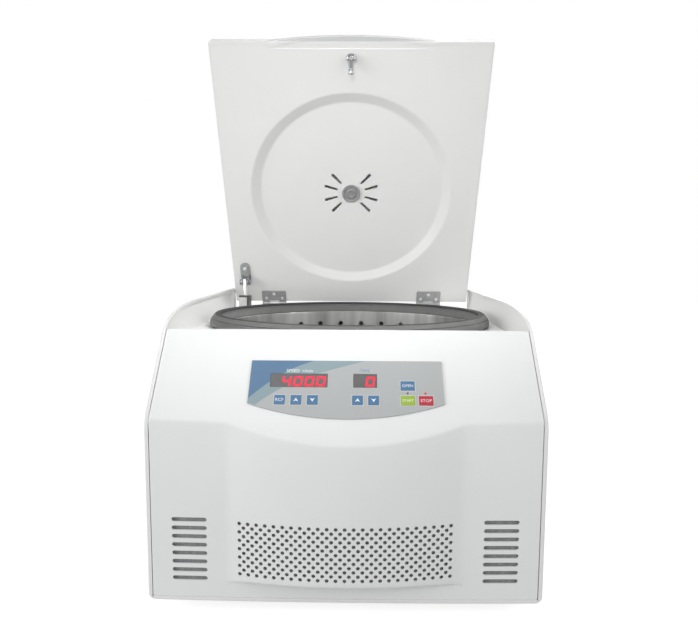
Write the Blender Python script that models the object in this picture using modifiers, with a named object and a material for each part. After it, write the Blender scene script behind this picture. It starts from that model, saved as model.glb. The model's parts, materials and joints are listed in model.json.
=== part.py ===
"""Low-speed bench centrifuge with its lid open, as an assembly of separate pieces.

Metres, +Z up. X runs across the front, Y from the front to the back. The origin is on the
bench, under the middle of the whole object. Run it with blender --background --python part.py.
"""

import math

import bmesh
import bpy
from mathutils import Matrix, Vector

# Fits and drawing values
GAP = 0.0003
OVERRUN = 0.02
MERGE = 0.00001
ROUND = 24
LARGE_ROUND = 48
SMALL_ROUND = 12
SHARP_ANGLE = 25

# Case: the painted steel body with its two cheeks
CASE_WIDTH = 0.390
CASE_DEPTH = 0.480
CASE_WALL = 0.0017
REAR_WALL = 0.0015
EDGE_BAND = 0.0042
EDGE_BAND_DEPTH = 0.0045
EDGE_BAND_HEIGHT = 0.003
CHEEK_TOP = 0.2975
CHEEK_RISE_RUN = 0.029
CHEEK_CURVE_RUN = 0.139
CHEEK_CURVE_STEPS = 6
FOOT_HEIGHT = 0.0135
FOOT_RADIUS = 0.014
FOOT_TAPER = 0.002
FOOT_INSET_X = 0.045
FOOT_INSET_FRONT = 0.065
FOOT_INSET_REAR = 0.05
TRAY_HEIGHT = 0.0038
TRAY_SHEET = 0.0018
TRAY_RIM = 0.0015
TRAY_SETBACK = 0.001

# Front moulding: sloping fascia, bowed front and the swelling that holds the grille
BREAK_HEIGHT = 0.1967
FASCIA_RUN = 0.0712
FASCIA_RISE = 0.0796
SHELL_WALL = 0.003
SHELL_BACK_WALL = 0.0025
FRONT_BOW = 0.003
BULGE_HALF_WIDTH = 0.1135
BULGE_PROUD = 0.018
BULGE_BOTTOM = 0.034
CURVE_STEPS = 20
GRILLE_HOLE_RADIUS = 0.00185
GRILLE_PITCH = 0.00856
GRILLE_ROW_PITCH = 0.00855
GRILLE_LOWEST = 0.0438
GRILLE_COLUMNS = 25
GRILLE_ROWS = 7
VENT_LENGTH_SHARE = 0.435065
VENT_HEIGHT = 0.0037
VENT_PITCH = 0.00854
VENT_LOWEST = 0.0373
VENT_INNER_SHARE = 0.281818
VENTS = 8

# Deck, chamber and seal
DECK_HEIGHT = 0.262
DECK_SHEET = 0.0015
TROUGH = 0.0154
RING_SIDE_ROOM = 0.0088
RING_REAR_ROOM = 0.0204
RING_WIDTH = 0.017
RING_HEIGHT = 0.0141
RING_ROUNDING = 0.004
BOWL_INSIDE_RING = 0.0015
BOWL_SHEET = 0.001
BOWL_DEPTH_SHARE = 0.58206107
BOWL_FLANGE = 0.0115
BOWL_CORNER = 0.014
BOWL_SHAFT_HOLE = 0.013
BOWL_HOLE_RADIUS = 0.003
BOWL_HOLE_DROP = 0.0175
BOWL_HOLES = 32
DECK_HOLE_CLEARANCE = 0.0015

# Drive
MOTOR_CLEARANCE = 0.0095
MOTOR_RADIUS_SHARE = 0.33132530
MOTOR_HEIGHT_SHARE = 0.50410959
MOTOR_END_WALL = 0.009
MOTOR_WALL = 0.015
MOTOR_CHAMFER = 0.005
MOUNT_PLATE_SHEET = 0.003
MOUNT_PLATE_MARGIN = 0.023
DAMPER_RADIUS = 0.011
DAMPER_OUTSIDE_MOTOR = 0.009
DAMPERS = 3
BEARING_RADIUS = 0.0132
SHAFT_RADIUS = 0.006
ARMATURE_CLEARANCE = 0.003

# Swing-out rotor and its four buckets
BUCKETS = 4
BUCKET_PIVOT_SHARE = 0.45180723
BUCKET_RADIUS_SHARE = 0.26
BUCKET_WALL = 0.0025
BUCKET_FLOOR = 0.003
BUCKET_ABOVE_PIVOT = 0.010
BUCKET_ROUNDING = 0.006
SWING_CLEARANCE = 0.019
BUCKET_FLOOR_CLEARANCE = 0.0125
ROTOR_THICKNESS = 0.018
ROTOR_RIM = 0.020
ROTOR_BAY_MARGIN = 0.0065
ROTOR_BAY_CLEARANCE = 0.0115
ROTOR_HUB_RADIUS = 0.022
ROTOR_HUB_HEIGHT = 0.009
TRUNNION_RADIUS = 0.003
TRUNNION_LENGTH = 0.0045
EAR_WIDTH = 0.016
EAR_DROP = 0.006
EAR_CLEARANCE = 0.001
NUT_RADIUS = 0.011
NUT_HEIGHT = 0.012
NUT_CHAMFER = 0.0025
NUT_ROOF = 0.0035

# Lid, drawn shut about its hinge axis and then turned open
LID_OPEN_ANGLE = math.radians(62.07)
LID_SIDE_CLEARANCE = 0.0097
LID_THICKNESS = 0.0194
LID_OVERHANG = 0.0122
LID_SEAL_GAP = 0.0004
LID_WALL = 0.0015
LID_FRONT_WALL = 0.004
LID_EDGE_RADIUS = 0.003
HINGE_FROM_REAR = 0.0246
HINGE_BELOW_LID = 0.0035
HINGE_BEHIND_LID = 0.0022
GRIP_HALF_WIDTH = 0.1095
GRIP_PROUD = 0.0065
GRIP_HEIGHT = 0.010
GRIP_LIFT = 0.0015
LINER_SHEET = 0.0015
DISH_FORWARD = 0.0043
DISH_INSIDE_RING = 0.0385
DISH_SLOPE_RUN = 0.0115
DISH_DEPTH = 0.007
VENT_PLUG_RADIUS = 0.0133
VENT_PLUG_PROUD = 0.0025
VENT_PLUG_STEM = 0.005
VENT_PLUG_CHAMFER = 0.001
SLOT_INNER_RADIUS = 0.0206
SLOT_OUTER_RADIUS = 0.0402
SLOT_INNER_WIDTH = 0.0025
SLOT_OUTER_WIDTH = 0.0039
SLOT_ANGLES = [math.radians(angle) for angle in (16, 46, 134, 164, 196, 226, 314, 344)]

# Lid hinges
HINGE_FROM_SIDE = 0.0613
LEAF_HALF_WIDTH = 0.0191
LEAF_LENGTH = 0.0195
LEAF_SHEET = 0.002
KNUCKLE_RADIUS = 0.003
HINGE_PIN_RADIUS = 0.0014
POST_HALF_WIDTH = 0.0070
POST_THICKNESS = 0.004
POST_FOOT_LENGTH = 0.024
POST_FOOT_SHEET = 0.0016

# Striker that hangs from the lid, and the lock that holds it
STRIKER_SETBACK = 0.004
STRIKER_RADIUS = 0.0034
STRIKER_PIVOT_DROP = 0.0055
STRIKER_LENGTH = 0.020
STRIKER_NECK_RADIUS = 0.002
STRIKER_NECK_TOP = 0.0146
STRIKER_NECK_LENGTH = 0.0034
CLEVIS_HALF_WIDTH = 0.0068
CLEVIS_HALF_DEPTH = 0.005
CLEVIS_DROP = 0.009
CLEVIS_BASE = 0.0015
CLEVIS_SLOT_CLEARANCE = 0.0003
CROSS_PIN_RADIUS = 0.0014
STRIKER_HOLE_CLEARANCE = 0.0021
LOCK_WIDTH_LEFT = 0.018
LOCK_WIDTH_RIGHT = 0.042
LOCK_FRONT = 0.0087
LOCK_BACK = 0.0183
LOCK_HEIGHT = 0.0162
BOLT_THICKNESS = 0.0024
BOLT_HALF_WIDTH = 0.0058
BOLT_LENGTH = 0.030
BOLT_FORK_HALF_WIDTH = 0.0026
BOLT_FORK_DEPTH = 0.0075
BOLT_REST_CLEARANCE = 0.0007
BOLT_TRAVEL = 0.009
RELIEF_CLEARANCE = 0.0035

# Lid stay at the left: a rod on the lid, a cylinder on the case
STAY_FROM_SIDE = 0.0188
STAY_PIN_FROM_REAR = 0.042
STAY_PIN_DROP = 0.012
STAY_PIN_RADIUS = 0.0022
STAY_PIN_HALF_LENGTH = 0.0093
STAY_HEAD_RADIUS = 0.0045
STAY_EAR_SHEET = 0.0018
STAY_EAR_RADIUS = 0.0052
STAY_EYE_HALF_WIDTH = 0.0031
STAY_EYE_RADIUS = 0.005
STAY_PLATE_HALF_WIDTH = 0.0078
STAY_PLATE_LENGTH = 0.0285
STAY_PLATE_START = 0.040
STAY_PLATE_SHEET = 0.0017
STAY_FOOT_BACK = 0.0404
STAY_FOOT_SHARE = 0.41984733
STAY_ROD_RADIUS = 0.003
STAY_ROD_END_CLEARANCE = 0.005
STAY_TUBE_RADIUS = 0.010
STAY_TUBE_WALL = 0.0017
STAY_TUBE_BASE = 0.012
STAY_TUBE_FLOOR = 0.004
STAY_TUBE_LENGTH = 0.083
STAY_TUBE_EYE_RADIUS = 0.009
STAY_STUD_RADIUS = 0.004
STAY_BLOCK_WIDTH = 0.0156
STAY_BLOCK_DEPTH = 0.026
STAY_BLOCK_HEIGHT = 0.035
STAY_BLOCK_DROP = 0.0208
STAY_SLOT_CLEARANCE = 0.001

# Control panel on the fascia, across X and up the slope from the break line
OVERLAY_SHEET = 0.0012
OVERLAY_HALF_WIDTH = 0.0963
OVERLAY_TOP = 0.0675
OVERLAY_SHOULDER = 0.018
OVERLAY_LOWEST = 0.0014
OVERLAY_STEPS = 12
WINDOW_SHEET = 0.0009
WINDOW_BOTTOM = 0.0361
WINDOW_HEIGHT = 0.0158
SPEED_WINDOW_LEFT = -0.0755
SPEED_WINDOW_WIDTH = 0.0570
TIME_WINDOW_LEFT = 0.0071
TIME_WINDOW_WIDTH = 0.0236
KEY_ROW = 0.0218
KEY_UPPER_ROW = 0.0384
KEY_SIZE = 0.0104
WIDE_KEY_SIZE = 0.0138
KEY_THICKNESS = 0.0011
KEY_PROUD = 0.0005
KEY_COLUMNS = {
    "speed_mode_key": -0.0650,
    "speed_up_key": -0.0489,
    "speed_down_key": -0.0328,
    "time_up_key": 0.0114,
    "time_down_key": 0.0271,
}
WIDE_KEY_PLACES = {
    "open_key": (0.0608, KEY_UPPER_ROW),
    "start_key": (0.0607, KEY_ROW),
    "stop_key": (0.0783, KEY_ROW),
}
BOARD_SHEET = 0.0016
BOARD_WIDTH = 0.150
BOARD_LENGTH = 0.050
BOARD_CENTRE = 0.045

# Mains side at the back
MAINS_HEIGHT = 0.062
INLET_FROM_SIDE = 0.060
INLET_HALF_WIDTH = 0.0133
INLET_HALF_HEIGHT = 0.0098
INLET_FLANGE = 0.0024
INLET_FLANGE_SHEET = 0.0012
INLET_DEPTH = 0.019
INLET_WALL = 0.0012
INLET_FLOOR = 0.003
PIN_WIDTH = 0.002
PIN_HEIGHT = 0.004
PIN_LENGTH = 0.012
PIN_PITCH = 0.014
PIN_LIFT = 0.0015
SWITCH_FROM_INLET = 0.043
SWITCH_HALF_WIDTH = 0.0092
SWITCH_HALF_HEIGHT = 0.0128
SWITCH_WALL = 0.0012
SWITCH_DEPTH = 0.013
ROCKER_HALF_HEIGHT = 0.010
ROCKER_THICKNESS = 0.0065
ROCKER_TILT = math.radians(10)
ROCKER_PIVOT_DEPTH = 0.0045
ROCKER_BEHIND_PIVOT = 0.003
REAR_VENTS = 9
REAR_VENT_LENGTH = 0.09
REAR_VENT_HEIGHT = 0.004
REAR_VENT_PITCH = 0.010
REAR_VENT_LOWEST = 0.07
POWER_BOARD_WIDTH = 0.085
POWER_BOARD_LENGTH = 0.12
POWER_BOARD_FROM_SIDE = 0.0683
POWER_BOARD_FROM_REAR = 0.11
HEAT_SINK_WIDTH = 0.03
HEAT_SINK_HEIGHT = 0.035

# Worked out from the sizes above
HALF_WIDTH = CASE_WIDTH / 2
TOTAL_DEPTH = BULGE_PROUD + CASE_DEPTH + GAP + INLET_FLANGE_SHEET
FACE_Y = BULGE_PROUD - TOTAL_DEPTH / 2
REAR_Y = FACE_Y + CASE_DEPTH
CASE_BOTTOM = FOOT_HEIGHT + GAP
TRAY_TOP = CASE_BOTTOM + TRAY_SHEET
SHELL_BOTTOM = CASE_BOTTOM + TRAY_HEIGHT + GAP
FASCIA_SLOPE = math.atan2(FASCIA_RISE, FASCIA_RUN)
FASCIA_TOP = BREAK_HEIGHT + FASCIA_RISE
SHELL_HALF_WIDTH = HALF_WIDTH - EDGE_BAND - GAP
INNER_HALF_WIDTH = HALF_WIDTH - CASE_WALL
TROUGH_Y = FACE_Y + FASCIA_RUN + SHELL_BACK_WALL
VENT_LAND = SHELL_HALF_WIDTH - BULGE_HALF_WIDTH
VENT_LENGTH = VENT_LENGTH_SHARE * VENT_LAND
VENT_INNER_X = BULGE_HALF_WIDTH + VENT_INNER_SHARE * VENT_LAND
DECK_LENGTH = CASE_DEPTH - FASCIA_RUN - SHELL_BACK_WALL - REAR_WALL
RING_OUTER = min(INNER_HALF_WIDTH - RING_SIDE_ROOM, (DECK_LENGTH - TROUGH - RING_REAR_ROOM) / 2)
CHAMBER_Y = TROUGH_Y + TROUGH + RING_OUTER
BOWL_RADIUS = RING_OUTER - RING_WIDTH - BOWL_INSIDE_RING
BOWL_DEPTH = BOWL_DEPTH_SHARE * DECK_HEIGHT
BOWL_RIM = DECK_HEIGHT + GAP + BOWL_SHEET
RING_TOP = BOWL_RIM + GAP + RING_HEIGHT
BOWL_FLOOR = DECK_HEIGHT - BOWL_DEPTH
BUCKET_PIVOT_RADIUS = BUCKET_PIVOT_SHARE * BOWL_RADIUS
BUCKET_RADIUS = BUCKET_RADIUS_SHARE * BUCKET_PIVOT_RADIUS
BUCKET_DEPTH = BOWL_RADIUS - BUCKET_PIVOT_RADIUS - SWING_CLEARANCE
PIVOT_HEIGHT = BOWL_FLOOR + BUCKET_FLOOR_CLEARANCE + BUCKET_DEPTH
ROTOR_TOP = PIVOT_HEIGHT + ROTOR_THICKNESS / 2
HUB_TOP = ROTOR_TOP + ROTOR_HUB_HEIGHT
ROTOR_BAY_HALF_WIDTH = BUCKET_RADIUS + ROTOR_BAY_MARGIN
MOTOR_RADIUS = MOTOR_RADIUS_SHARE * BOWL_RADIUS
MOTOR_HEIGHT = MOTOR_HEIGHT_SHARE * BOWL_FLOOR
MOUNT_PLATE_RADIUS = MOTOR_RADIUS + MOUNT_PLATE_MARGIN
DAMPER_CIRCLE = MOTOR_RADIUS + DAMPER_OUTSIDE_MOTOR
MOTOR_TOP = BOWL_FLOOR - BOWL_SHEET - MOTOR_CLEARANCE
MOTOR_BOTTOM = MOTOR_TOP - MOTOR_HEIGHT
PLATE_BOTTOM = MOTOR_BOTTOM - GAP - MOUNT_PLATE_SHEET
HINGE_Y = REAR_Y - HINGE_FROM_REAR
HINGE_Z = RING_TOP + LID_SEAL_GAP - HINGE_BELOW_LID
LID_HALF_WIDTH = HALF_WIDTH - LID_SIDE_CLEARANCE
HINGE_X = LID_HALF_WIDTH - HINGE_FROM_SIDE
STAY_X = STAY_FROM_SIDE - LID_HALF_WIDTH
STAY_FOOT_HEIGHT = STAY_FOOT_SHARE * DECK_HEIGHT
LID_REAR = -HINGE_BEHIND_LID
LID_FRONT = FACE_Y + FASCIA_RUN - LID_OVERHANG - HINGE_Y
LID_INNER = HINGE_BELOW_LID
LID_TOP = LID_INNER + LID_THICKNESS
DISH_RADIUS = RING_OUTER - DISH_INSIDE_RING
DISH_Y = CHAMBER_Y - HINGE_Y - DISH_FORWARD
STRIKER_Y = TROUGH_Y + STRIKER_SETBACK
STAY_FOOT_Y = HINGE_Y - STAY_FOOT_BACK
INLET_X = HALF_WIDTH - INLET_FROM_SIDE
SWITCH_X = INLET_X - SWITCH_FROM_INLET
POWER_BOARD_CENTRE_X = INNER_HALF_WIDTH - POWER_BOARD_FROM_SIDE

FINISHES = {
    "painted_white": ((0.80, 0.80, 0.79), 0.42, 0.0),
    "moulded_white": ((0.83, 0.84, 0.83), 0.38, 0.0),
    "stainless": ((0.62, 0.62, 0.61), 0.24, 1.0),
    "rubber": ((0.07, 0.07, 0.07), 0.75, 0.0),
    "galvanised": ((0.50, 0.51, 0.51), 0.45, 1.0),
    "bright_steel": ((0.68, 0.68, 0.68), 0.22, 1.0),
    "aluminium": ((0.70, 0.71, 0.72), 0.35, 1.0),
    "grey_plastic": ((0.30, 0.30, 0.30), 0.5, 0.0),
    "white_plastic": ((0.80, 0.80, 0.78), 0.45, 0.0),
    "black_plastic": ((0.02, 0.02, 0.02), 0.45, 0.0),
    "panel_film": ((0.42, 0.47, 0.50), 0.4, 0.0),
    "blue_key": ((0.07, 0.24, 0.42), 0.4, 0.0),
    "green_key": ((0.36, 0.55, 0.08), 0.4, 0.0),
    "red_key": ((0.66, 0.05, 0.09), 0.4, 0.0),
    "window_tint": ((0.10, 0.10, 0.10), 0.15, 0.0),
    "circuit_board": ((0.02, 0.16, 0.07), 0.5, 0.0),
}

PARTS = "low_speed_centrifuge"
CUTTERS = "cutters"


def clear_scene():
    for obj in list(bpy.data.objects):
        bpy.data.objects.remove(obj)
    for name in (PARTS, CUTTERS):
        bpy.context.scene.collection.children.link(bpy.data.collections.new(name))
    bpy.data.collections[CUTTERS].hide_render = True


def finish_material(obj, finish):
    """Gives the object a material of its own in one of the named finishes."""
    colour, roughness, metallic = FINISHES[finish]
    material = bpy.data.materials.new(f"{obj.name}_{finish}")
    material.use_nodes = True
    shader = material.node_tree.nodes["Principled BSDF"]
    shader.inputs["Base Color"].default_value = (*colour, 1)
    shader.inputs["Roughness"].default_value = roughness
    shader.inputs["Metallic"].default_value = metallic
    obj.data.materials.append(material)


def place_part(obj, finish, parent=None, smooth=True):
    """Puts a finished piece among the parts, under an empty where it moves."""
    bpy.data.collections[PARTS].objects.link(obj)
    if parent:
        obj.parent = parent
    finish_material(obj, finish)
    if smooth:
        obj.data.shade_smooth()
        obj.data.set_sharp_from_angle(angle=math.radians(SHARP_ANGLE))
    return obj


def make_cutter(obj, parent=None):
    bpy.data.collections[CUTTERS].objects.link(obj)
    if parent:
        obj.parent = parent
    obj.hide_render = True
    obj.display_type = "WIRE"
    return obj


def pivot(name, place, turn=None):
    """An empty on a joint's axis."""
    empty = bpy.data.objects.new(name, None)
    bpy.data.collections[PARTS].objects.link(empty)
    empty.matrix_world = Matrix.Translation(place) @ (turn or Matrix.Identity(4))
    return empty


def object_from(bm, name):
    mesh = bpy.data.meshes.new(name)
    bm.to_mesh(mesh)
    bm.free()
    return bpy.data.objects.new(name, mesh)


def block(name, low, high, edge_radius=0.0, rounded=None):
    """A box between two corners. rounded picks the edges, by their middle, that get the radius."""
    bm = bmesh.new()
    bmesh.ops.create_cube(bm, size=1)
    low, high = Vector(low), Vector(high)
    bmesh.ops.scale(bm, vec=high - low, verts=bm.verts)
    bmesh.ops.translate(bm, vec=(low + high) / 2, verts=bm.verts)
    if edge_radius:
        edges = [e for e in bm.edges if rounded is None or rounded(*(v.co for v in e.verts))]
        bmesh.ops.bevel(
            bm, geom=edges, offset=edge_radius, segments=3, profile=0.5, affect="EDGES", material=-1
        )
    return object_from(bm, name)


def turn_to(axis):
    return {
        "X": Matrix.Rotation(math.pi / 2, 4, "Y"),
        "Y": Matrix.Rotation(-math.pi / 2, 4, "X"),
        "Z": Matrix.Identity(4),
    }[axis]


def round_bar(name, radius, start, end, axis="Z", across=(0, 0), sides=ROUND):
    """A cylinder from start to end along an axis; across is its place on the other two axes."""
    bm = bmesh.new()
    bmesh.ops.create_cone(
        bm, cap_ends=True, segments=sides, radius1=radius, radius2=radius, depth=end - start
    )
    bmesh.ops.rotate(bm, cent=(0, 0, 0), matrix=turn_to(axis), verts=bm.verts)
    middle = (start + end) / 2
    places = {
        "X": (middle, across[0], across[1]),
        "Y": (across[0], middle, across[1]),
        "Z": (across[0], across[1], middle),
    }
    bmesh.ops.translate(bm, vec=places[axis], verts=bm.verts)
    return object_from(bm, name)


def turned(name, profile, sides=ROUND, ring=False):
    """A profile of (radius, height) turned about Z. Its outer side runs from top to bottom."""
    bm = bmesh.new()
    verts = [bm.verts.new((radius, 0, height)) for radius, height in profile]
    pairs = list(zip(verts, verts[1:]))
    if ring:
        pairs.append((verts[-1], verts[0]))
    for pair in pairs:
        bm.edges.new(pair)
    obj = object_from(bm, name)
    screw = obj.modifiers.new("turn", "SCREW")
    screw.steps = sides
    screw.render_steps = sides
    screw.use_merge_vertices = True
    screw.merge_threshold = MERGE
    screw.use_smooth_shade = False
    return obj


def outline_solid(name, points, low, high, turn=None):
    """A flat outline extruded from low to high, as a mesh; turn carries its plane to where it lies."""
    curve = bpy.data.curves.new(name, "CURVE")
    curve.dimensions = "2D"
    curve.fill_mode = "BOTH"
    curve.extrude = (high - low) / 2
    spline = curve.splines.new("POLY")
    spline.points.add(len(points) - 1)
    for point, (u, v) in zip(spline.points, points):
        point.co = (u, v, 0, 1)
    spline.use_cyclic_u = True
    flat = bpy.data.objects.new(name, curve)
    bpy.data.collections[CUTTERS].objects.link(flat)
    flat.matrix_world = (turn or Matrix.Identity(4)) @ Matrix.Translation((0, 0, (low + high) / 2))
    bpy.context.view_layer.update()
    graph = bpy.context.evaluated_depsgraph_get()
    mesh = bpy.data.meshes.new_from_object(flat.evaluated_get(graph))
    mesh.transform(flat.matrix_world)
    bpy.data.objects.remove(flat)
    bpy.data.curves.remove(curve)
    bm = bmesh.new()
    bm.from_mesh(mesh)
    bmesh.ops.remove_doubles(bm, verts=bm.verts, dist=MERGE)
    bmesh.ops.recalc_face_normals(bm, faces=bm.faces)
    bm.to_mesh(mesh)
    bm.free()
    return bpy.data.objects.new(name, mesh)


def combine(obj, other, operation, parent=None):
    make_cutter(other, parent)
    modifier = obj.modifiers.new(other.name, "BOOLEAN")
    modifier.operation = operation
    modifier.object = other
    return obj


def cut(obj, cutter, parent=None):
    return combine(obj, cutter, "DIFFERENCE", parent)


def fuse(obj, other, parent=None):
    return combine(obj, other, "UNION", parent)


def several(name, objects):
    """Joins loose shapes into one cutter."""
    bm = bmesh.new()
    for obj in objects:
        start = len(bm.verts)
        bm.from_mesh(obj.data)
        bm.verts.ensure_lookup_table()
        bmesh.ops.transform(bm, matrix=obj.matrix_basis, verts=bm.verts[start:])
        bpy.data.objects.remove(obj)
    return object_from(bm, name)


def side_view():
    """Carries an outline drawn in (Y, Z) so that its thickness runs along X."""
    return Matrix(((0, 0, 1, 0), (1, 0, 0, 0), (0, 1, 0, 0), (0, 0, 0, 1)))


def fascia_frame():
    """X across, Y up the slope from the break line, Z out of the fascia."""
    return Matrix.Translation((0, FACE_Y, BREAK_HEIGHT)) @ Matrix.Rotation(FASCIA_SLOPE, 4, "X")


def case_outline(back, shift_y=0.0, shift_z=0.0, bottom=CASE_BOTTOM):
    """The case from the side: straight front, sloping fascia, curved rise of the cheek, flat top."""
    front = FACE_Y + shift_y
    slope_top = (front + FASCIA_RUN, FASCIA_TOP + shift_z)
    control = (slope_top[0] + CHEEK_RISE_RUN, CHEEK_TOP + shift_z)
    curve_end = (slope_top[0] + CHEEK_CURVE_RUN, CHEEK_TOP + shift_z)
    points = [(front, bottom), (front, BREAK_HEIGHT + shift_z)]
    for step in range(CHEEK_CURVE_STEPS + 1):
        t = step / CHEEK_CURVE_STEPS
        weights = ((1 - t) ** 2, 2 * t * (1 - t), t**2)
        points.append(
            tuple(
                sum(w * p[axis] for w, p in zip(weights, (slope_top, control, curve_end)))
                for axis in (0, 1)
            )
        )
    return points + [(back, CHEEK_TOP + shift_z), (back, bottom)]


def make_outer_casing():
    casing = outline_solid(
        "outer_casing", case_outline(REAR_Y), -HALF_WIDTH, HALF_WIDTH, side_view()
    )
    inner_back = REAR_Y - REAR_WALL
    opening = HALF_WIDTH - EDGE_BAND
    cut(
        casing,
        block(
            "case_opening",
            (-opening, FACE_Y - OVERRUN, CASE_BOTTOM - OVERRUN),
            (opening, inner_back, CHEEK_TOP + OVERRUN),
        ),
    )
    hollow = case_outline(
        inner_back, EDGE_BAND_DEPTH, -EDGE_BAND_HEIGHT, bottom=CASE_BOTTOM - OVERRUN
    )
    cut(
        casing,
        outline_solid("case_hollow", hollow, -INNER_HALF_WIDTH, INNER_HALF_WIDTH, side_view()),
    )
    cut(
        casing,
        block(
            "case_rear_opening",
            (-opening, inner_back - OVERRUN, DECK_HEIGHT),
            (opening, REAR_Y + OVERRUN, CHEEK_TOP + OVERRUN),
        ),
    )
    holes = [
        block(
            "inlet_hole",
            (INLET_X - INLET_HALF_WIDTH - GAP, REAR_Y - OVERRUN, MAINS_HEIGHT - INLET_HALF_HEIGHT - GAP),
            (INLET_X + INLET_HALF_WIDTH + GAP, REAR_Y + OVERRUN, MAINS_HEIGHT + INLET_HALF_HEIGHT + GAP),
        ),
        block(
            "switch_hole",
            (SWITCH_X - SWITCH_HALF_WIDTH - GAP, REAR_Y - OVERRUN, MAINS_HEIGHT - SWITCH_HALF_HEIGHT - GAP),
            (SWITCH_X + SWITCH_HALF_WIDTH + GAP, REAR_Y + OVERRUN, MAINS_HEIGHT + SWITCH_HALF_HEIGHT + GAP),
        ),
    ]
    for row in range(REAR_VENTS):
        low = REAR_VENT_LOWEST + row * REAR_VENT_PITCH
        holes.append(
            block(
                f"rear_vent_{row}",
                (-REAR_VENT_LENGTH, REAR_Y - OVERRUN, low),
                (0, REAR_Y + OVERRUN, low + REAR_VENT_HEIGHT),
            )
        )
    cut(casing, several("rear_holes", holes))
    place_part(casing, "painted_white")


def bowed_front(half_width, proud, edge_y, back, inset=0.0):
    """A plan outline whose front is an arc standing proud of its two edges."""
    radius = (half_width**2 + proud**2) / (2 * proud)
    half_angle = math.asin(half_width / radius)
    centre = edge_y - proud + radius
    reach = radius - inset
    points = []
    for step in range(CURVE_STEPS + 1):
        angle = half_angle * (2 * step / CURVE_STEPS - 1)
        x = max(-half_width + inset, min(half_width - inset, reach * math.sin(angle)))
        points.append((x, centre - math.sqrt(reach**2 - x**2)))
    return points + [(half_width - inset, back), (-half_width + inset, back)]


def front_edge_at(x):
    """How far back the gently bowed front is at x."""
    return FACE_Y - FRONT_BOW * (1 - (x / SHELL_HALF_WIDTH) ** 2)


def front_solid(name, inset, back, bottom, bulge_bottom, top):
    """The bowed front with its swelling, before the fascia slices it off."""
    body = outline_solid(
        name,
        bowed_front(SHELL_HALF_WIDTH, FRONT_BOW, FACE_Y, back, inset),
        bottom,
        top,
    )
    edge_y = front_edge_at(BULGE_HALF_WIDTH)
    proud = edge_y - (FACE_Y - BULGE_PROUD)
    bulge = outline_solid(
        f"{name}_bulge",
        bowed_front(BULGE_HALF_WIDTH, proud, edge_y, FACE_Y + SHELL_WALL * 2, inset),
        bulge_bottom,
        top,
    )
    return fuse(body, bulge)


def above_fascia(name, depth):
    """Everything above the plane that lies depth below the fascia."""
    slab = block(
        name,
        (-CASE_WIDTH, -CASE_DEPTH, -depth),
        (CASE_WIDTH, CASE_DEPTH, CASE_DEPTH),
    )
    slab.matrix_world = fascia_frame()
    return slab


def grille_holes():
    """Staggered holes: long columns with short ones between them."""
    half_span = (GRILLE_COLUMNS - 1) / 2
    holes = []
    for half_column in range(2 * GRILLE_COLUMNS - 1):
        short = half_column % 2
        x = (half_column / 2 - half_span) * GRILLE_PITCH
        for row in range(GRILLE_ROWS - short):
            z = GRILLE_LOWEST + (row + short / 2) * GRILLE_ROW_PITCH
            holes.append(
                round_bar(
                    "grille_hole",
                    GRILLE_HOLE_RADIUS,
                    FACE_Y - BULGE_PROUD - OVERRUN,
                    FACE_Y + SHELL_WALL,
                    "Y",
                    (x, z),
                    sides=4,
                )
            )
    return several("grille_holes", holes)


def side_vent_slots():
    slots = []
    for side in (-1, 1):
        ends = sorted((side * VENT_INNER_X, side * (VENT_INNER_X + VENT_LENGTH)))
        for row in range(VENTS):
            middle = VENT_LOWEST + row * VENT_PITCH
            slots.append(
                block(
                    "side_vent",
                    (ends[0], FACE_Y - OVERRUN, middle - VENT_HEIGHT / 2),
                    (ends[1], FACE_Y + OVERRUN, middle + VENT_HEIGHT / 2),
                )
            )
    return several("side_vents", slots)


def make_front_shell():
    shell = front_solid(
        "front_shell", 0, TROUGH_Y, SHELL_BOTTOM, BULGE_BOTTOM, CHEEK_TOP + OVERRUN
    )
    cut(shell, above_fascia("fascia_slice", 0))
    cut(
        shell,
        block(
            "fascia_top_slice",
            (-CASE_WIDTH, FACE_Y, FASCIA_TOP),
            (CASE_WIDTH, FACE_Y + CASE_DEPTH, FASCIA_TOP + CASE_DEPTH),
        ),
    )
    hollow = front_solid(
        "shell_hollow",
        SHELL_WALL,
        TROUGH_Y - SHELL_BACK_WALL,
        SHELL_BOTTOM - OVERRUN,
        BULGE_BOTTOM + SHELL_WALL,
        CHEEK_TOP + OVERRUN,
    )
    cut(hollow, above_fascia("hollow_slice", SHELL_WALL))
    cut(
        hollow,
        block(
            "hollow_top_slice",
            (-CASE_WIDTH, FACE_Y, FASCIA_TOP - SHELL_WALL),
            (CASE_WIDTH, FACE_Y + CASE_DEPTH, FASCIA_TOP + CASE_DEPTH),
        ),
    )
    cut(shell, hollow)
    inner = SHELL_HALF_WIDTH - SHELL_WALL
    cut(
        shell,
        block(
            "shell_back_opening",
            (-inner, TROUGH_Y - SHELL_BACK_WALL - OVERRUN / 2, SHELL_BOTTOM - OVERRUN),
            (inner, TROUGH_Y + OVERRUN, DECK_HEIGHT - DECK_SHEET + GAP),
        ),
    )
    relief = CLEVIS_HALF_WIDTH + SHELL_WALL
    cut(
        shell,
        block(
            "striker_relief",
            (-relief, TROUGH_Y - SHELL_BACK_WALL / 2 - GAP, DECK_HEIGHT - OVERRUN),
            (relief, TROUGH_Y + OVERRUN, FASCIA_TOP + OVERRUN),
        ),
    )
    cut(shell, grille_holes())
    cut(shell, side_vent_slots())
    place_part(shell, "moulded_white")


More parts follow.
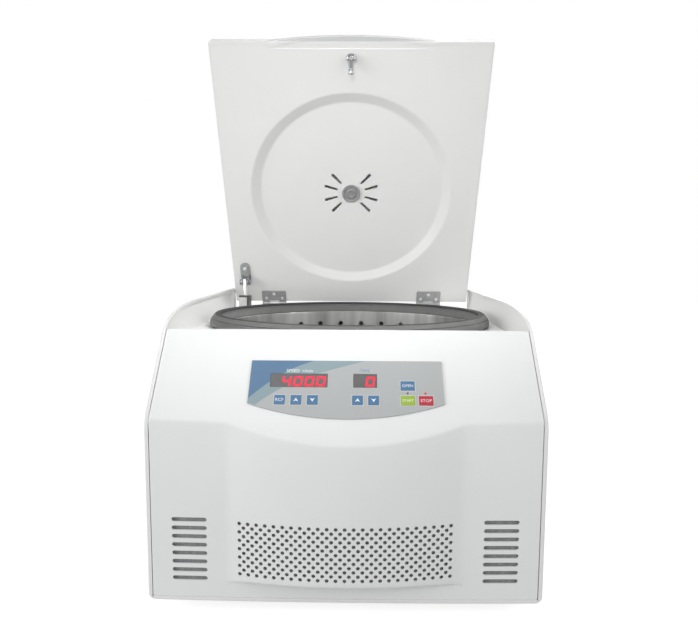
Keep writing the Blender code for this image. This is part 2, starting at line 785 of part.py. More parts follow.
def make_base_tray():
    front = FACE_Y + TRAY_SETBACK
    back = REAR_Y - REAR_WALL - GAP
    half = INNER_HALF_WIDTH - GAP
    top = CASE_BOTTOM + TRAY_HEIGHT
    narrow = HALF_WIDTH - EDGE_BAND - GAP
    tray = block(
        "base_tray", (-narrow, front, CASE_BOTTOM), (narrow, front + EDGE_BAND_DEPTH + GAP, top)
    )
    fuse(
        tray,
        block("tray_floor", (-half, front + EDGE_BAND_DEPTH, CASE_BOTTOM), (half, back, top)),
    )
    cut(
        tray,
        block(
            "tray_hollow",
            (-narrow + TRAY_RIM, front + TRAY_RIM, TRAY_TOP),
            (narrow - TRAY_RIM, back - TRAY_RIM, top + OVERRUN),
        ),
    )
    place_part(tray, "painted_white")
    places = {
        "front_left": (-1, FACE_Y + FOOT_INSET_FRONT),
        "front_right": (1, FACE_Y + FOOT_INSET_FRONT),
        "rear_left": (-1, REAR_Y - FOOT_INSET_REAR),
        "rear_right": (1, REAR_Y - FOOT_INSET_REAR),
    }
    for place, (side, y) in places.items():
        foot = turned(
            f"foot_{place}",
            [(0, FOOT_HEIGHT), (FOOT_RADIUS, FOOT_HEIGHT), (FOOT_RADIUS - FOOT_TAPER, 0), (0, 0)],
        )
        foot.location = (side * (HALF_WIDTH - FOOT_INSET_X), y, 0)
        place_part(foot, "rubber")


def make_deck():
    deck = block(
        "top_deck",
        (-INNER_HALF_WIDTH + GAP, TROUGH_Y + GAP, DECK_HEIGHT - DECK_SHEET),
        (INNER_HALF_WIDTH - GAP, REAR_Y - REAR_WALL - GAP, DECK_HEIGHT),
    )
    cut(
        deck,
        round_bar(
            "deck_hole",
            BOWL_RADIUS + BOWL_SHEET + DECK_HOLE_CLEARANCE,
            DECK_HEIGHT - OVERRUN,
            DECK_HEIGHT + OVERRUN,
            "Z",
            (0, CHAMBER_Y),
            sides=LARGE_ROUND,
        ),
    )
    hole = STRIKER_RADIUS + STRIKER_HOLE_CLEARANCE
    cut(
        deck,
        block(
            "deck_striker_notch",
            (-hole, TROUGH_Y - OVERRUN, DECK_HEIGHT - OVERRUN),
            (hole, STRIKER_Y + hole, DECK_HEIGHT + OVERRUN),
        ),
    )
    low, high = stay_slot()
    cut(deck, block("deck_stay_slot", low, high))
    place_part(deck, "painted_white")


def make_chamber():
    outer = BOWL_RADIUS + BOWL_SHEET
    corner = BOWL_CORNER
    under = BOWL_FLOOR - BOWL_SHEET
    bend = [math.pi / 2 * step / 4 for step in range(5)]
    outside = [
        (outer - corner * (1 - math.cos(a)), under + corner * (1 - math.sin(a))) for a in bend
    ]
    inner_corner = corner - BOWL_SHEET
    inside = [
        (
            BOWL_RADIUS - inner_corner * (1 - math.cos(a)),
            BOWL_FLOOR + inner_corner * (1 - math.sin(a)),
        )
        for a in reversed(bend)
    ]
    rim_under = BOWL_RIM - BOWL_SHEET
    profile = [
        (BOWL_RADIUS, BOWL_RIM),
        (outer + BOWL_FLANGE, BOWL_RIM),
        (outer + BOWL_FLANGE, rim_under),
        (outer, rim_under),
        *outside,
        (BOWL_SHAFT_HOLE, under),
        (BOWL_SHAFT_HOLE, BOWL_FLOOR),
        *inside,
    ]
    bowl = turned("chamber_bowl", profile, LARGE_ROUND, ring=True)
    bowl.location = (0, CHAMBER_Y, 0)
    holes = []
    for index in range(BOWL_HOLES):
        hole = round_bar(
            "bowl_hole",
            BOWL_HOLE_RADIUS,
            BOWL_RADIUS - OVERRUN / 2,
            outer + OVERRUN / 2,
            "X",
            (0, DECK_HEIGHT - BOWL_HOLE_DROP),
            sides=6,
        )
        hole.data.transform(Matrix.Rotation(2 * math.pi * (index + 0.5) / BOWL_HOLES, 4, "Z"))
        holes.append(hole)
    cutter = several("bowl_holes", holes)
    cutter.location = bowl.location
    cut(bowl, cutter)
    place_part(bowl, "stainless")

    bottom = BOWL_RIM + GAP
    inner = RING_OUTER - RING_WIDTH
    rounding = RING_ROUNDING
    lift = rounding * (1 - math.sin(math.pi / 4))
    profile = [
        (inner + rounding, RING_TOP),
        (RING_OUTER - rounding, RING_TOP),
        (RING_OUTER - lift, RING_TOP - lift),
        (RING_OUTER, RING_TOP - rounding),
        (RING_OUTER, bottom),
        (inner, bottom),
        (inner, RING_TOP - rounding),
        (inner + lift, RING_TOP - lift),
    ]
    ring = turned("seal_ring", profile, LARGE_ROUND, ring=True)
    ring.location = (0, CHAMBER_Y, 0)
    place_part(ring, "rubber")


def make_motor():
    bore = BEARING_RADIUS + GAP
    chamfer = MOTOR_CHAMFER
    wall = MOTOR_RADIUS - MOTOR_WALL
    low_shoulder = MOTOR_BOTTOM + MOTOR_END_WALL
    high_shoulder = MOTOR_TOP - MOTOR_END_WALL
    profile = [
        (bore, MOTOR_TOP),
        (MOTOR_RADIUS - chamfer, MOTOR_TOP),
        (MOTOR_RADIUS, MOTOR_TOP - chamfer),
        (MOTOR_RADIUS, MOTOR_BOTTOM + chamfer),
        (MOTOR_RADIUS - chamfer, MOTOR_BOTTOM),
        (bore, MOTOR_BOTTOM),
        (bore, low_shoulder),
        (wall, low_shoulder),
        (wall, high_shoulder),
        (bore, high_shoulder),
    ]
    housing = turned("motor_housing", profile, ring=True)
    housing.location = (0, CHAMBER_Y, 0)
    place_part(housing, "aluminium")
    for name, low in (("lower_bearing", MOTOR_BOTTOM), ("upper_bearing", high_shoulder)):
        inner = SHAFT_RADIUS + GAP
        bottom, top = low + GAP, low + MOTOR_END_WALL - GAP
        bearing = turned(
            name,
            [(inner, top), (BEARING_RADIUS, top), (BEARING_RADIUS, bottom), (inner, bottom)],
            ring=True,
        )
        bearing.location = (0, CHAMBER_Y, 0)
        place_part(bearing, "bright_steel")
    plate = round_bar(
        "motor_mount_plate",
        MOUNT_PLATE_RADIUS,
        PLATE_BOTTOM,
        PLATE_BOTTOM + MOUNT_PLATE_SHEET,
        "Z",
        (0, CHAMBER_Y),
        sides=ROUND,
    )
    place_part(plate, "galvanised")
    for index in range(DAMPERS):
        angle = math.pi / 2 + 2 * math.pi * index / DAMPERS
        damper = turned(
            f"motor_damper_{index + 1}",
            [
                (0, PLATE_BOTTOM - GAP),
                (DAMPER_RADIUS, PLATE_BOTTOM - GAP),
                (DAMPER_RADIUS - FOOT_TAPER, (PLATE_BOTTOM + TRAY_TOP) / 2),
                (DAMPER_RADIUS, TRAY_TOP + GAP),
                (0, TRAY_TOP + GAP),
            ],
        )
        damper.location = (
            DAMPER_CIRCLE * math.cos(angle),
            CHAMBER_Y + DAMPER_CIRCLE * math.sin(angle),
            0,
        )
        place_part(damper, "rubber")


def make_rotor():
    axis = pivot("rotor_axis", (0, CHAMBER_Y, 0))
    nut_bottom = HUB_TOP + GAP
    nut_top = nut_bottom + NUT_HEIGHT
    shaft_top = nut_top - NUT_ROOF - GAP
    bore = SHAFT_RADIUS + GAP
    core = MOTOR_RADIUS - MOTOR_WALL - ARMATURE_CLEARANCE
    core_low = MOTOR_BOTTOM + MOTOR_END_WALL + ARMATURE_CLEARANCE
    core_high = MOTOR_TOP - MOTOR_END_WALL - ARMATURE_CLEARANCE
    shaft = turned(
        "motor_shaft",
        [
            (0, shaft_top),
            (SHAFT_RADIUS, shaft_top),
            (SHAFT_RADIUS, core_high),
            (core, core_high),
            (core, core_low),
            (SHAFT_RADIUS, core_low),
            (SHAFT_RADIUS, MOTOR_BOTTOM + GAP),
            (0, MOTOR_BOTTOM + GAP),
        ],
    )
    place_part(shaft, "bright_steel", axis)
    rim = BUCKET_PIVOT_RADIUS + ROTOR_RIM
    bottom = PIVOT_HEIGHT - ROTOR_THICKNESS / 2
    head = turned(
        "rotor_head",
        [
            (bore, HUB_TOP),
            (ROTOR_HUB_RADIUS, HUB_TOP),
            (ROTOR_HUB_RADIUS, ROTOR_TOP),
            (rim, ROTOR_TOP),
            (rim, bottom),
            (bore, bottom),
        ],
        ring=True,
    )
    bay_end = BUCKET_PIVOT_RADIUS - BUCKET_RADIUS - ROTOR_BAY_CLEARANCE
    bays, pins = [], []
    for index in range(BUCKETS):
        turn = Matrix.Rotation(2 * math.pi * index / BUCKETS, 4, "Z")
        bay = block(
            f"rotor_bay_{index}",
            (bay_end, -ROTOR_BAY_HALF_WIDTH, bottom - OVERRUN),
            (rim + OVERRUN, ROTOR_BAY_HALF_WIDTH, ROTOR_TOP + OVERRUN / 4),
        )
        bay.data.transform(turn)
        bays.append(bay)
        for side in (-1, 1):
            ends = sorted(
                side * reach
                for reach in (
                    ROTOR_BAY_HALF_WIDTH - TRUNNION_LENGTH,
                    ROTOR_BAY_HALF_WIDTH + TRUNNION_LENGTH,
                )
            )
            pin = round_bar(
                f"trunnion_{index}_{side}",
                TRUNNION_RADIUS,
                ends[0],
                ends[1],
                "Y",
                (BUCKET_PIVOT_RADIUS, PIVOT_HEIGHT),
                sides=SMALL_ROUND,
            )
            pin.data.transform(turn)
            pins.append(pin)
    for bay in bays:
        cut(head, bay, axis)
    for pin in pins:
        fuse(head, pin, axis)
    place_part(head, "aluminium", axis)
    nut = turned(
        "rotor_nut",
        [
            (0, nut_top),
            (NUT_RADIUS - NUT_CHAMFER, nut_top),
            (NUT_RADIUS, nut_top - NUT_CHAMFER),
            (NUT_RADIUS, nut_bottom),
            (bore, nut_bottom),
            (bore, nut_top - NUT_ROOF),
            (0, nut_top - NUT_ROOF),
        ],
    )
    place_part(nut, "bright_steel", axis)
    for index in range(BUCKETS):
        make_bucket(index, axis)


def make_bucket(index, axis):
    """A round cup between two ears, hanging on the rotor's trunnions. Its origin is on its pivot."""
    angle = 2 * math.pi * index / BUCKETS
    name = f"bucket_{index + 1}"
    hinge = bpy.data.objects.new(f"{name}_pivot", None)
    bpy.data.collections[PARTS].objects.link(hinge)
    hinge.parent = axis
    hinge.matrix_local = Matrix.Rotation(angle, 4, "Z") @ Matrix.Translation(
        (BUCKET_PIVOT_RADIUS, 0, PIVOT_HEIGHT)
    )
    inner = BUCKET_RADIUS - BUCKET_WALL
    rounding = BUCKET_ROUNDING
    cup = turned(
        name,
        [
            (0, -BUCKET_DEPTH + BUCKET_FLOOR),
            (inner - rounding / 2, -BUCKET_DEPTH + BUCKET_FLOOR),
            (inner, -BUCKET_DEPTH + BUCKET_FLOOR + rounding / 2),
            (inner, BUCKET_ABOVE_PIVOT),
            (BUCKET_RADIUS, BUCKET_ABOVE_PIVOT),
            (BUCKET_RADIUS, -BUCKET_DEPTH + rounding),
            (BUCKET_RADIUS - rounding, -BUCKET_DEPTH),
            (0, -BUCKET_DEPTH),
        ],
    )
    outer = ROTOR_BAY_HALF_WIDTH - EAR_CLEARANCE
    for side in (-1, 1):
        ends = sorted((side * (BUCKET_RADIUS - BUCKET_WALL / 2), side * outer))
        fuse(
            cup,
            block(
                f"{name}_ear_{side}",
                (-EAR_WIDTH / 2, ends[0], -EAR_DROP),
                (EAR_WIDTH / 2, ends[1], BUCKET_ABOVE_PIVOT - GAP),
            ),
            hinge,
        )
        seat = TRUNNION_RADIUS + GAP * 2
        start = sorted((side * (BUCKET_RADIUS + GAP), side * (outer + OVERRUN)))
        cut(
            cup,
            round_bar(
                f"{name}_seat_{side}", seat, start[0], start[1], "Y", (0, 0), sides=SMALL_ROUND
            ),
            hinge,
        )
        cut(
            cup,
            block(
                f"{name}_mouth_{side}", (-seat, start[0], -OVERRUN), (seat, start[1], 0)
            ),
            hinge,
        )
    place_part(cup, "aluminium", hinge)


def make_lid(lid):
    grip_radius = (GRIP_HALF_WIDTH**2 + GRIP_PROUD**2) / (2 * GRIP_PROUD)
    cover = block(
        "lid_cover",
        (-LID_HALF_WIDTH, LID_FRONT, LID_INNER),
        (LID_HALF_WIDTH, LID_REAR, LID_TOP),
        LID_EDGE_RADIUS,
        lambda a, b: min(a.z, b.z) > LID_INNER + MERGE or a.z != b.z,
    )
    half_angle = math.asin(GRIP_HALF_WIDTH / grip_radius)
    crescent = []
    for step in range(CURVE_STEPS + 1):
        angle = half_angle * (2 * step / CURVE_STEPS - 1)
        crescent.append(
            (
                grip_radius * math.sin(angle),
                LID_FRONT - GRIP_PROUD + grip_radius * (1 - math.cos(angle)),
            )
        )
    crescent += [(GRIP_HALF_WIDTH, LID_FRONT + LID_WALL), (-GRIP_HALF_WIDTH, LID_FRONT + LID_WALL)]
    low = LID_INNER + GRIP_LIFT
    fuse(cover, outline_solid("lid_grip", crescent, low, low + GRIP_HEIGHT), lid)
    cut(
        cover,
        block(
            "lid_hollow",
            (-LID_HALF_WIDTH + LID_WALL, LID_FRONT + LID_FRONT_WALL, LID_INNER - OVERRUN),
            (LID_HALF_WIDTH - LID_WALL, LID_REAR - LID_WALL, LID_TOP - LID_WALL),
        ),
        lid,
    )
    place_part(cover, "painted_white", lid)
    make_liner(lid)


def dish(name, radius, low, high, slope):
    """A shallow cone frustum about the middle of the lid, narrower as it goes into the lid."""
    obj = turned(
        name,
        [(0, high), (radius - slope * (high - low), high), (radius, low), (0, low)],
        LARGE_ROUND,
    )
    obj.location = (0, DISH_Y, 0)
    return obj


def make_liner(lid):
    slope = DISH_SLOPE_RUN / DISH_DEPTH
    liner = block(
        "lid_liner",
        (-LID_HALF_WIDTH + LID_WALL + GAP, LID_FRONT + LID_FRONT_WALL + GAP, LID_INNER),
        (LID_HALF_WIDTH - LID_WALL - GAP, LID_REAR - LID_WALL - GAP, LID_INNER + LINER_SHEET),
    )
    floor = LID_INNER + DISH_DEPTH
    fuse(
        liner,
        dish(
            "dish_back",
            DISH_RADIUS + LINER_SHEET,
            LID_INNER + LINER_SHEET / 2,
            floor + LINER_SHEET,
            slope,
        ),
        lid,
    )
    below = LINER_SHEET
    cut(
        liner,
        dish("dish_front", DISH_RADIUS + slope * below, LID_INNER - below, floor, slope),
        lid,
    )
    cut(
        liner,
        round_bar(
            "vent_plug_hole",
            VENT_PLUG_STEM + GAP,
            floor - OVERRUN,
            floor + OVERRUN,
            "Z",
            (0, DISH_Y),
        ),
        lid,
    )
    slots = []
    for index, angle in enumerate(SLOT_ANGLES):
        half_inner, half_outer = SLOT_INNER_WIDTH / 2, SLOT_OUTER_WIDTH / 2
        outline = [
            (SLOT_INNER_RADIUS, -half_inner),
            (SLOT_OUTER_RADIUS, -half_outer),
            (SLOT_OUTER_RADIUS, half_outer),
            (SLOT_INNER_RADIUS, half_inner),
        ]
        turn = Matrix.Translation((0, DISH_Y, 0)) @ Matrix.Rotation(angle, 4, "Z")
        slots.append(
            outline_solid(f"lid_slot_{index}", outline, LID_INNER, floor + OVERRUN / 2, turn)
        )
    cut(liner, several("lid_slots", slots), lid)
    place_part(liner, "painted_white", lid)
    face = floor - GAP
    back = floor + LINER_SHEET + GAP
    chamfer = VENT_PLUG_CHAMFER
    plug = turned(
        "lid_vent_plug",
        [
            (0, back),
            (VENT_PLUG_STEM, back),
            (VENT_PLUG_STEM, face),
            (VENT_PLUG_RADIUS, face),
            (VENT_PLUG_RADIUS, face - VENT_PLUG_PROUD + chamfer),
            (VENT_PLUG_RADIUS - chamfer, face - VENT_PLUG_PROUD),
            (0, face - VENT_PLUG_PROUD),
        ],
    )
    plug.location = (0, DISH_Y, 0)
    place_part(plug, "grey_plastic", lid)


def make_hinge(side, lid):
    """The lid's leaf with two knuckles, the deck's post with one between them, and the pin."""
    name = "left" if side < 0 else "right"
    x = side * HINGE_X
    top = LID_INNER - GAP
    leaf = block(
        f"hinge_leaf_{name}",
        (x - LEAF_HALF_WIDTH, LID_REAR - LEAF_LENGTH, top - LEAF_SHEET),
        (x + LEAF_HALF_WIDTH, 0, top),
    )
    fuse(
        leaf,
        round_bar(
            f"leaf_knuckle_{name}",
            KNUCKLE_RADIUS,
            x - LEAF_HALF_WIDTH,
            x + LEAF_HALF_WIDTH,
            "X",
            (0, 0),
            sides=SMALL_ROUND,
        ),
        lid,
    )
    notch = POST_HALF_WIDTH + GAP
    reach = KNUCKLE_RADIUS + GAP * 2
    cut(
        leaf,
        block(
            f"leaf_notch_{name}",
            (x - notch, -reach, -KNUCKLE_RADIUS - OVERRUN / 2),
            (x + notch, OVERRUN / 2, OVERRUN / 2),
        ),
        lid,
    )
    bore = HINGE_PIN_RADIUS + GAP
    cut(
        leaf,
        round_bar(
            f"leaf_bore_{name}",
            bore,
            x - LEAF_HALF_WIDTH - OVERRUN,
            x + LEAF_HALF_WIDTH + OVERRUN,
            "X",
            (0, 0),
            sides=SMALL_ROUND,
        ),
        lid,
    )
    place_part(leaf, "galvanised", lid)

    foot_top = DECK_HEIGHT + GAP + POST_FOOT_SHEET
    low, high = x - POST_HALF_WIDTH, x + POST_HALF_WIDTH
    post = block(
        f"hinge_post_{name}",
        (low, HINGE_Y - POST_THICKNESS / 2, DECK_HEIGHT + GAP),
        (high, HINGE_Y + POST_THICKNESS / 2, HINGE_Z),
    )
    fuse(
        post,
        block(
            f"post_foot_{name}",
            (low - GAP, HINGE_Y - POST_FOOT_LENGTH / 2, DECK_HEIGHT + GAP),
            (high + GAP, HINGE_Y + POST_FOOT_LENGTH / 2, foot_top),
        ),
    )
    fuse(
        post,
        round_bar(
            f"post_knuckle_{name}",
            KNUCKLE_RADIUS,
            low,
            high,
            "X",
            (HINGE_Y, HINGE_Z),
            sides=SMALL_ROUND,
        ),
    )
    cut(
        post,
        round_bar(
            f"post_bore_{name}",
            bore,
            low - OVERRUN,
            high + OVERRUN,
            "X",
            (HINGE_Y, HINGE_Z),
            sides=SMALL_ROUND,
        ),
    )
    place_part(post, "bright_steel")
    pin = round_bar(
        f"hinge_pin_{name}",
        HINGE_PIN_RADIUS,
        x - LEAF_HALF_WIDTH,
        x + LEAF_HALF_WIDTH,
        "X",
        (HINGE_Y, HINGE_Z),
        sides=SMALL_ROUND,
    )
    place_part(pin, "bright_steel")


def make_striker(lid):
    """A clevis on the lid's free edge and the striker that hangs plumb from its cross pin."""
    y = STRIKER_Y - HINGE_Y
    top = LID_INNER - GAP
    clevis = block(
        "striker_clevis",
        (-CLEVIS_HALF_WIDTH, y - CLEVIS_HALF_DEPTH, LID_INNER - CLEVIS_DROP),
        (CLEVIS_HALF_WIDTH, y + CLEVIS_HALF_DEPTH, top),
    )
    slot = STRIKER_RADIUS + CLEVIS_SLOT_CLEARANCE
    cut(
        clevis,
        block(
            "clevis_slot",
            (-slot, y - CLEVIS_HALF_DEPTH - OVERRUN, LID_INNER - OVERRUN),
            (slot, y + CLEVIS_HALF_DEPTH + OVERRUN, LID_INNER - CLEVIS_BASE),
        ),
        lid,
    )
    pin_z = LID_INNER - STRIKER_PIVOT_DROP
    cut(
        clevis,
        round_bar(
            "clevis_bore",
            CROSS_PIN_RADIUS + GAP,
            -OVERRUN,
            OVERRUN,
            "X",
            (y, pin_z),
            sides=SMALL_ROUND,
        ),
        lid,
    )
    place_part(clevis, "galvanised", lid)
    pin = round_bar(
        "striker_cross_pin",
        CROSS_PIN_RADIUS,
        -CLEVIS_HALF_WIDTH,
        CLEVIS_HALF_WIDTH,
        "X",
        (y, pin_z),
        sides=SMALL_ROUND,
    )
    place_part(pin, "bright_steel", lid)

    hang = bpy.data.objects.new("striker_pivot", None)
    bpy.data.collections[PARTS].objects.link(hang)
    hang.parent = lid
    hang.matrix_local = Matrix.Translation((0, y, pin_z)) @ Matrix.Rotation(
        LID_OPEN_ANGLE, 4, "X"
    )
    radius = STRIKER_RADIUS
    neck_low = STRIKER_NECK_TOP + STRIKER_NECK_LENGTH
    striker = turned(
        "lid_striker",
        [
            (0, radius),
            (radius * math.sin(math.pi / 4), radius * math.cos(math.pi / 4)),
            (radius, 0),
            (radius, -STRIKER_NECK_TOP),
            (STRIKER_NECK_RADIUS, -STRIKER_NECK_TOP),
            (STRIKER_NECK_RADIUS, -neck_low),
            (radius, -neck_low),
            (radius, -STRIKER_LENGTH),
            (0, -STRIKER_LENGTH),
        ],
        16,
    )
    cut(
        striker,
        round_bar(
            "striker_bore",
            CROSS_PIN_RADIUS + GAP,
            -OVERRUN,
            OVERRUN,
            "X",
            (0, 0),
            sides=SMALL_ROUND,
        ),
        hang,
    )
    place_part(striker, "bright_steel", hang)


def make_lock():
    """A housing under the deck whose forked bolt slides round the striker's neck."""
    top = DECK_HEIGHT - DECK_SHEET - GAP
    low = top - LOCK_HEIGHT
    housing = block(
        "lock_housing",
        (-LOCK_WIDTH_LEFT, STRIKER_Y - LOCK_FRONT, low),
        (LOCK_WIDTH_RIGHT, STRIKER_Y + LOCK_BACK, top),
    )
    hole = STRIKER_RADIUS + STRIKER_HOLE_CLEARANCE
    cut(
        housing,
        round_bar("lock_mouth", hole, low - OVERRUN, top + OVERRUN, "Z", (0, STRIKER_Y), sides=16),
    )
    striker_pivot = HINGE_Z + LID_INNER - STRIKER_PIVOT_DROP
    neck = striker_pivot - STRIKER_NECK_TOP - STRIKER_NECK_LENGTH / 2
    half = BOLT_THICKNESS / 2
    channel_end = BOLT_TRAVEL - hole - BOLT_REST_CLEARANCE + GAP * 2
    cut(
        housing,
        block(
            "bolt_channel",
            (-channel_end, STRIKER_Y - BOLT_HALF_WIDTH - GAP, neck - half - GAP),
            (LOCK_WIDTH_RIGHT + OVERRUN, STRIKER_Y + BOLT_HALF_WIDTH + GAP, neck + half + GAP),
        ),
    )
    place_part(housing, "black_plastic")
    tip = hole + BOLT_REST_CLEARANCE
    bolt = block(
        "lock_bolt",
        (tip, STRIKER_Y - BOLT_HALF_WIDTH, neck - half),
        (tip + BOLT_LENGTH, STRIKER_Y + BOLT_HALF_WIDTH, neck + half),
    )
    cut(
        bolt,
        block(
            "bolt_fork",
            (tip - OVERRUN, STRIKER_Y - BOLT_FORK_HALF_WIDTH, neck - OVERRUN),
            (tip + BOLT_FORK_DEPTH, STRIKER_Y + BOLT_FORK_HALF_WIDTH, neck + OVERRUN),
        ),
    )
    place_part(bolt, "bright_steel")


def turned_about_hinge(y, z, angle):
    """Where a point of the shut lid, given about the hinge axis, is when the lid is open by angle."""
    point = Matrix.Rotation(-angle, 3, "X") @ Vector((0, y, z))
    return Vector((0, HINGE_Y, HINGE_Z)) + point


def stay_pin_at(angle):
    return turned_about_hinge(LID_REAR - STAY_PIN_FROM_REAR, LID_INNER - STAY_PIN_DROP, angle)


def stay_foot():
    return Vector((0, STAY_FOOT_Y, STAY_FOOT_HEIGHT))


def stay_lean(angle):
    """The turn about X that carries +Z to the line from the stay's foot to its pin."""
    line = stay_pin_at(angle) - stay_foot()
    return math.atan2(-line.y, line.z)


def stay_slot():
    """The deck's slot: room for the block and the lid's ears from lid open to lid shut."""
    half = STAY_BLOCK_DEPTH / 2 + STAY_SLOT_CLEARANCE
    middles = []
    for share in (0, 0.25, 0.5, 0.75, 1):
        angle = LID_OPEN_ANGLE * (1 - share)
        lean = stay_lean(LID_OPEN_ANGLE) * (1 - share) + stay_lean(0) * share
        pin = stay_pin_at(angle)
        middles.append(pin.y + (pin.z - DECK_HEIGHT) * math.tan(lean))
        half = max(half, STAY_EAR_RADIUS + STAY_SLOT_CLEARANCE)
    side = max(STAY_BLOCK_WIDTH / 2, STAY_PIN_HALF_LENGTH) + STAY_SLOT_CLEARANCE
    return (
        (STAY_X - side, min(middles) - half, DECK_HEIGHT - OVERRUN),
        (STAY_X + side, max(middles) + half, DECK_HEIGHT + OVERRUN),
    )


def make_stay(lid):
    y = LID_REAR - STAY_PIN_FROM_REAR
    z = LID_INNER - STAY_PIN_DROP
    top = LID_INNER - GAP
    plate = block(
        "stay_bracket",
        (
            STAY_X - STAY_PLATE_HALF_WIDTH,
            LID_REAR - STAY_PLATE_START - STAY_PLATE_LENGTH,
            top - STAY_PLATE_SHEET,
        ),
        (STAY_X + STAY_PLATE_HALF_WIDTH, LID_REAR - STAY_PLATE_START + STAY_EAR_RADIUS, top),
    )
    ear_start = STAY_EYE_HALF_WIDTH + GAP
    for side in (-1, 1):
        ends = sorted(
            STAY_X + side * reach for reach in (ear_start, ear_start + STAY_EAR_SHEET)
        )
        fuse(
            plate,
            block(
                f"stay_ear_{side}",
                (ends[0], y - STAY_EAR_RADIUS, z),
                (ends[1], y + STAY_EAR_RADIUS, top - STAY_PLATE_SHEET / 2),
            ),
            lid,
        )
        fuse(
            plate,
            round_bar(
                f"stay_ear_end_{side}", STAY_EAR_RADIUS, ends[0], ends[1], "X", (y, z), sides=16
            ),
            lid,
        )
    cut(
        plate,
        round_bar(
            "stay_ear_bore",
            STAY_PIN_RADIUS + GAP,
            STAY_X - OVERRUN,
            STAY_X + OVERRUN,
            "X",
            (y, z),
            sides=SMALL_ROUND,
        ),
        lid,
    )
    place_part(plate, "galvanised", lid)
    pin = round_bar(
        "stay_pin",
        STAY_PIN_RADIUS,
        STAY_X - STAY_PIN_HALF_LENGTH,
        STAY_X + STAY_PIN_HALF_LENGTH,
        "X",
        (y, z),
        sides=SMALL_ROUND,
    )
    head_start = ear_start + STAY_EAR_SHEET + GAP
    for side in (-1, 1):
        ends = sorted(STAY_X + side * reach for reach in (head_start, STAY_PIN_HALF_LENGTH - GAP))
        fuse(
            pin,
            round_bar(
                f"stay_pin_head_{side}", STAY_HEAD_RADIUS, ends[0], ends[1], "X", (y, z), sides=16
            ),
            lid,
        )
    place_part(pin, "bright_steel", lid)
    make_stay_rod(lid, y, z)
    make_stay_tube()


def make_stay_rod(lid, y, z):
    """The rod and the block on it. Their origin is on the lid's pin."""
    lean = stay_lean(LID_OPEN_ANGLE)
    shut_length = (stay_pin_at(0) - stay_foot()).length
    rod_end = shut_length - STAY_TUBE_BASE - STAY_TUBE_FLOOR - STAY_ROD_END_CLEARANCE
    hang = bpy.data.objects.new("stay_rod_pivot", None)
    bpy.data.collections[PARTS].objects.link(hang)
    hang.parent = lid
    hang.matrix_local = Matrix.Translation((STAY_X, y, z)) @ Matrix.Rotation(
        LID_OPEN_ANGLE + lean, 4, "X"
    )
    eye = STAY_EYE_HALF_WIDTH
    rod = round_bar("stay_rod", STAY_ROD_RADIUS, -rod_end, -STAY_PIN_RADIUS * 2, sides=16)
    fuse(rod, round_bar("stay_rod_eye", STAY_EYE_RADIUS, -eye, eye, "X", sides=16), hang)
    cut(
        rod,
        round_bar(
            "stay_rod_bore", STAY_PIN_RADIUS + GAP, -OVERRUN, OVERRUN, "X", sides=SMALL_ROUND
        ),
        hang,
    )
    place_part(rod, "bright_steel", hang)
    stay_block = block(
        "stay_block",
        (-STAY_BLOCK_WIDTH / 2, -STAY_BLOCK_DEPTH / 2, -STAY_BLOCK_DROP - STAY_BLOCK_HEIGHT),
        (STAY_BLOCK_WIDTH / 2, STAY_BLOCK_DEPTH / 2, -STAY_BLOCK_DROP),
    )
    cut(
        stay_block,
        round_bar(
            "stay_block_bore", STAY_ROD_RADIUS + GAP, -STAY_BLOCK_DROP * 2 - STAY_BLOCK_HEIGHT, 0,
            sides=16,
        ),
        hang,
    )
    place_part(stay_block, "white_plastic", hang)


def make_stay_tube():
    """The cylinder on its stud at the case's side wall. Its origin is on the stud."""
    foot = stay_foot()
    base = pivot(
        "stay_tube_pivot",
        (STAY_X, foot.y, foot.z),
        Matrix.Rotation(stay_lean(LID_OPEN_ANGLE), 4, "X"),
    )
    bore = STAY_TUBE_RADIUS - STAY_TUBE_WALL
    floor = STAY_TUBE_BASE + STAY_TUBE_FLOOR
    top = STAY_TUBE_BASE + STAY_TUBE_LENGTH
    tube = turned(
        "stay_cylinder",
        [
            (0, floor),
            (bore, floor),
            (bore, top),
            (STAY_TUBE_RADIUS, top),
            (STAY_TUBE_RADIUS, STAY_TUBE_BASE),
            (0, STAY_TUBE_BASE),
        ],
    )
    half = STAY_EYE_HALF_WIDTH * 2
    fuse(
        tube,
        block(
            "stay_tube_neck",
            (-half, -STAY_EYE_RADIUS, 0),
            (half, STAY_EYE_RADIUS, STAY_TUBE_BASE + STAY_TUBE_FLOOR / 2),
        ),
        base,
    )
    fuse(tube, round_bar("stay_tube_eye", STAY_TUBE_EYE_RADIUS, -half, half, "X"), base)
    cut(
        tube,
        round_bar("stay_tube_bore", STAY_STUD_RADIUS + GAP, -OVERRUN, OVERRUN, "X"),
        base,
    )
    place_part(tube, "galvanised", base)
    stud = round_bar(
        "stay_stud",
        STAY_STUD_RADIUS,
        -INNER_HALF_WIDTH + GAP,
        STAY_X + half + GAP * 2,
        "X",
        (foot.y, foot.z),
    )
    place_part(stud, "bright_steel")


def on_fascia(obj):
    obj.matrix_world = fascia_frame()
    return obj


def panel_opening(name, low, high):
    return on_fascia(
        block(
            name,
            (low[0] - GAP, low[1] - GAP, -OVERRUN / 10),
            (high[0] + GAP, high[1] + GAP, OVERRUN),
        )
    )


def key_places():
    """Each key's middle and half width on the fascia."""
    places = {name: ((x, KEY_ROW), KEY_SIZE / 2) for name, x in KEY_COLUMNS.items()}
    places.update({name: (place, WIDE_KEY_SIZE / 2) for name, place in WIDE_KEY_PLACES.items()})
    return places


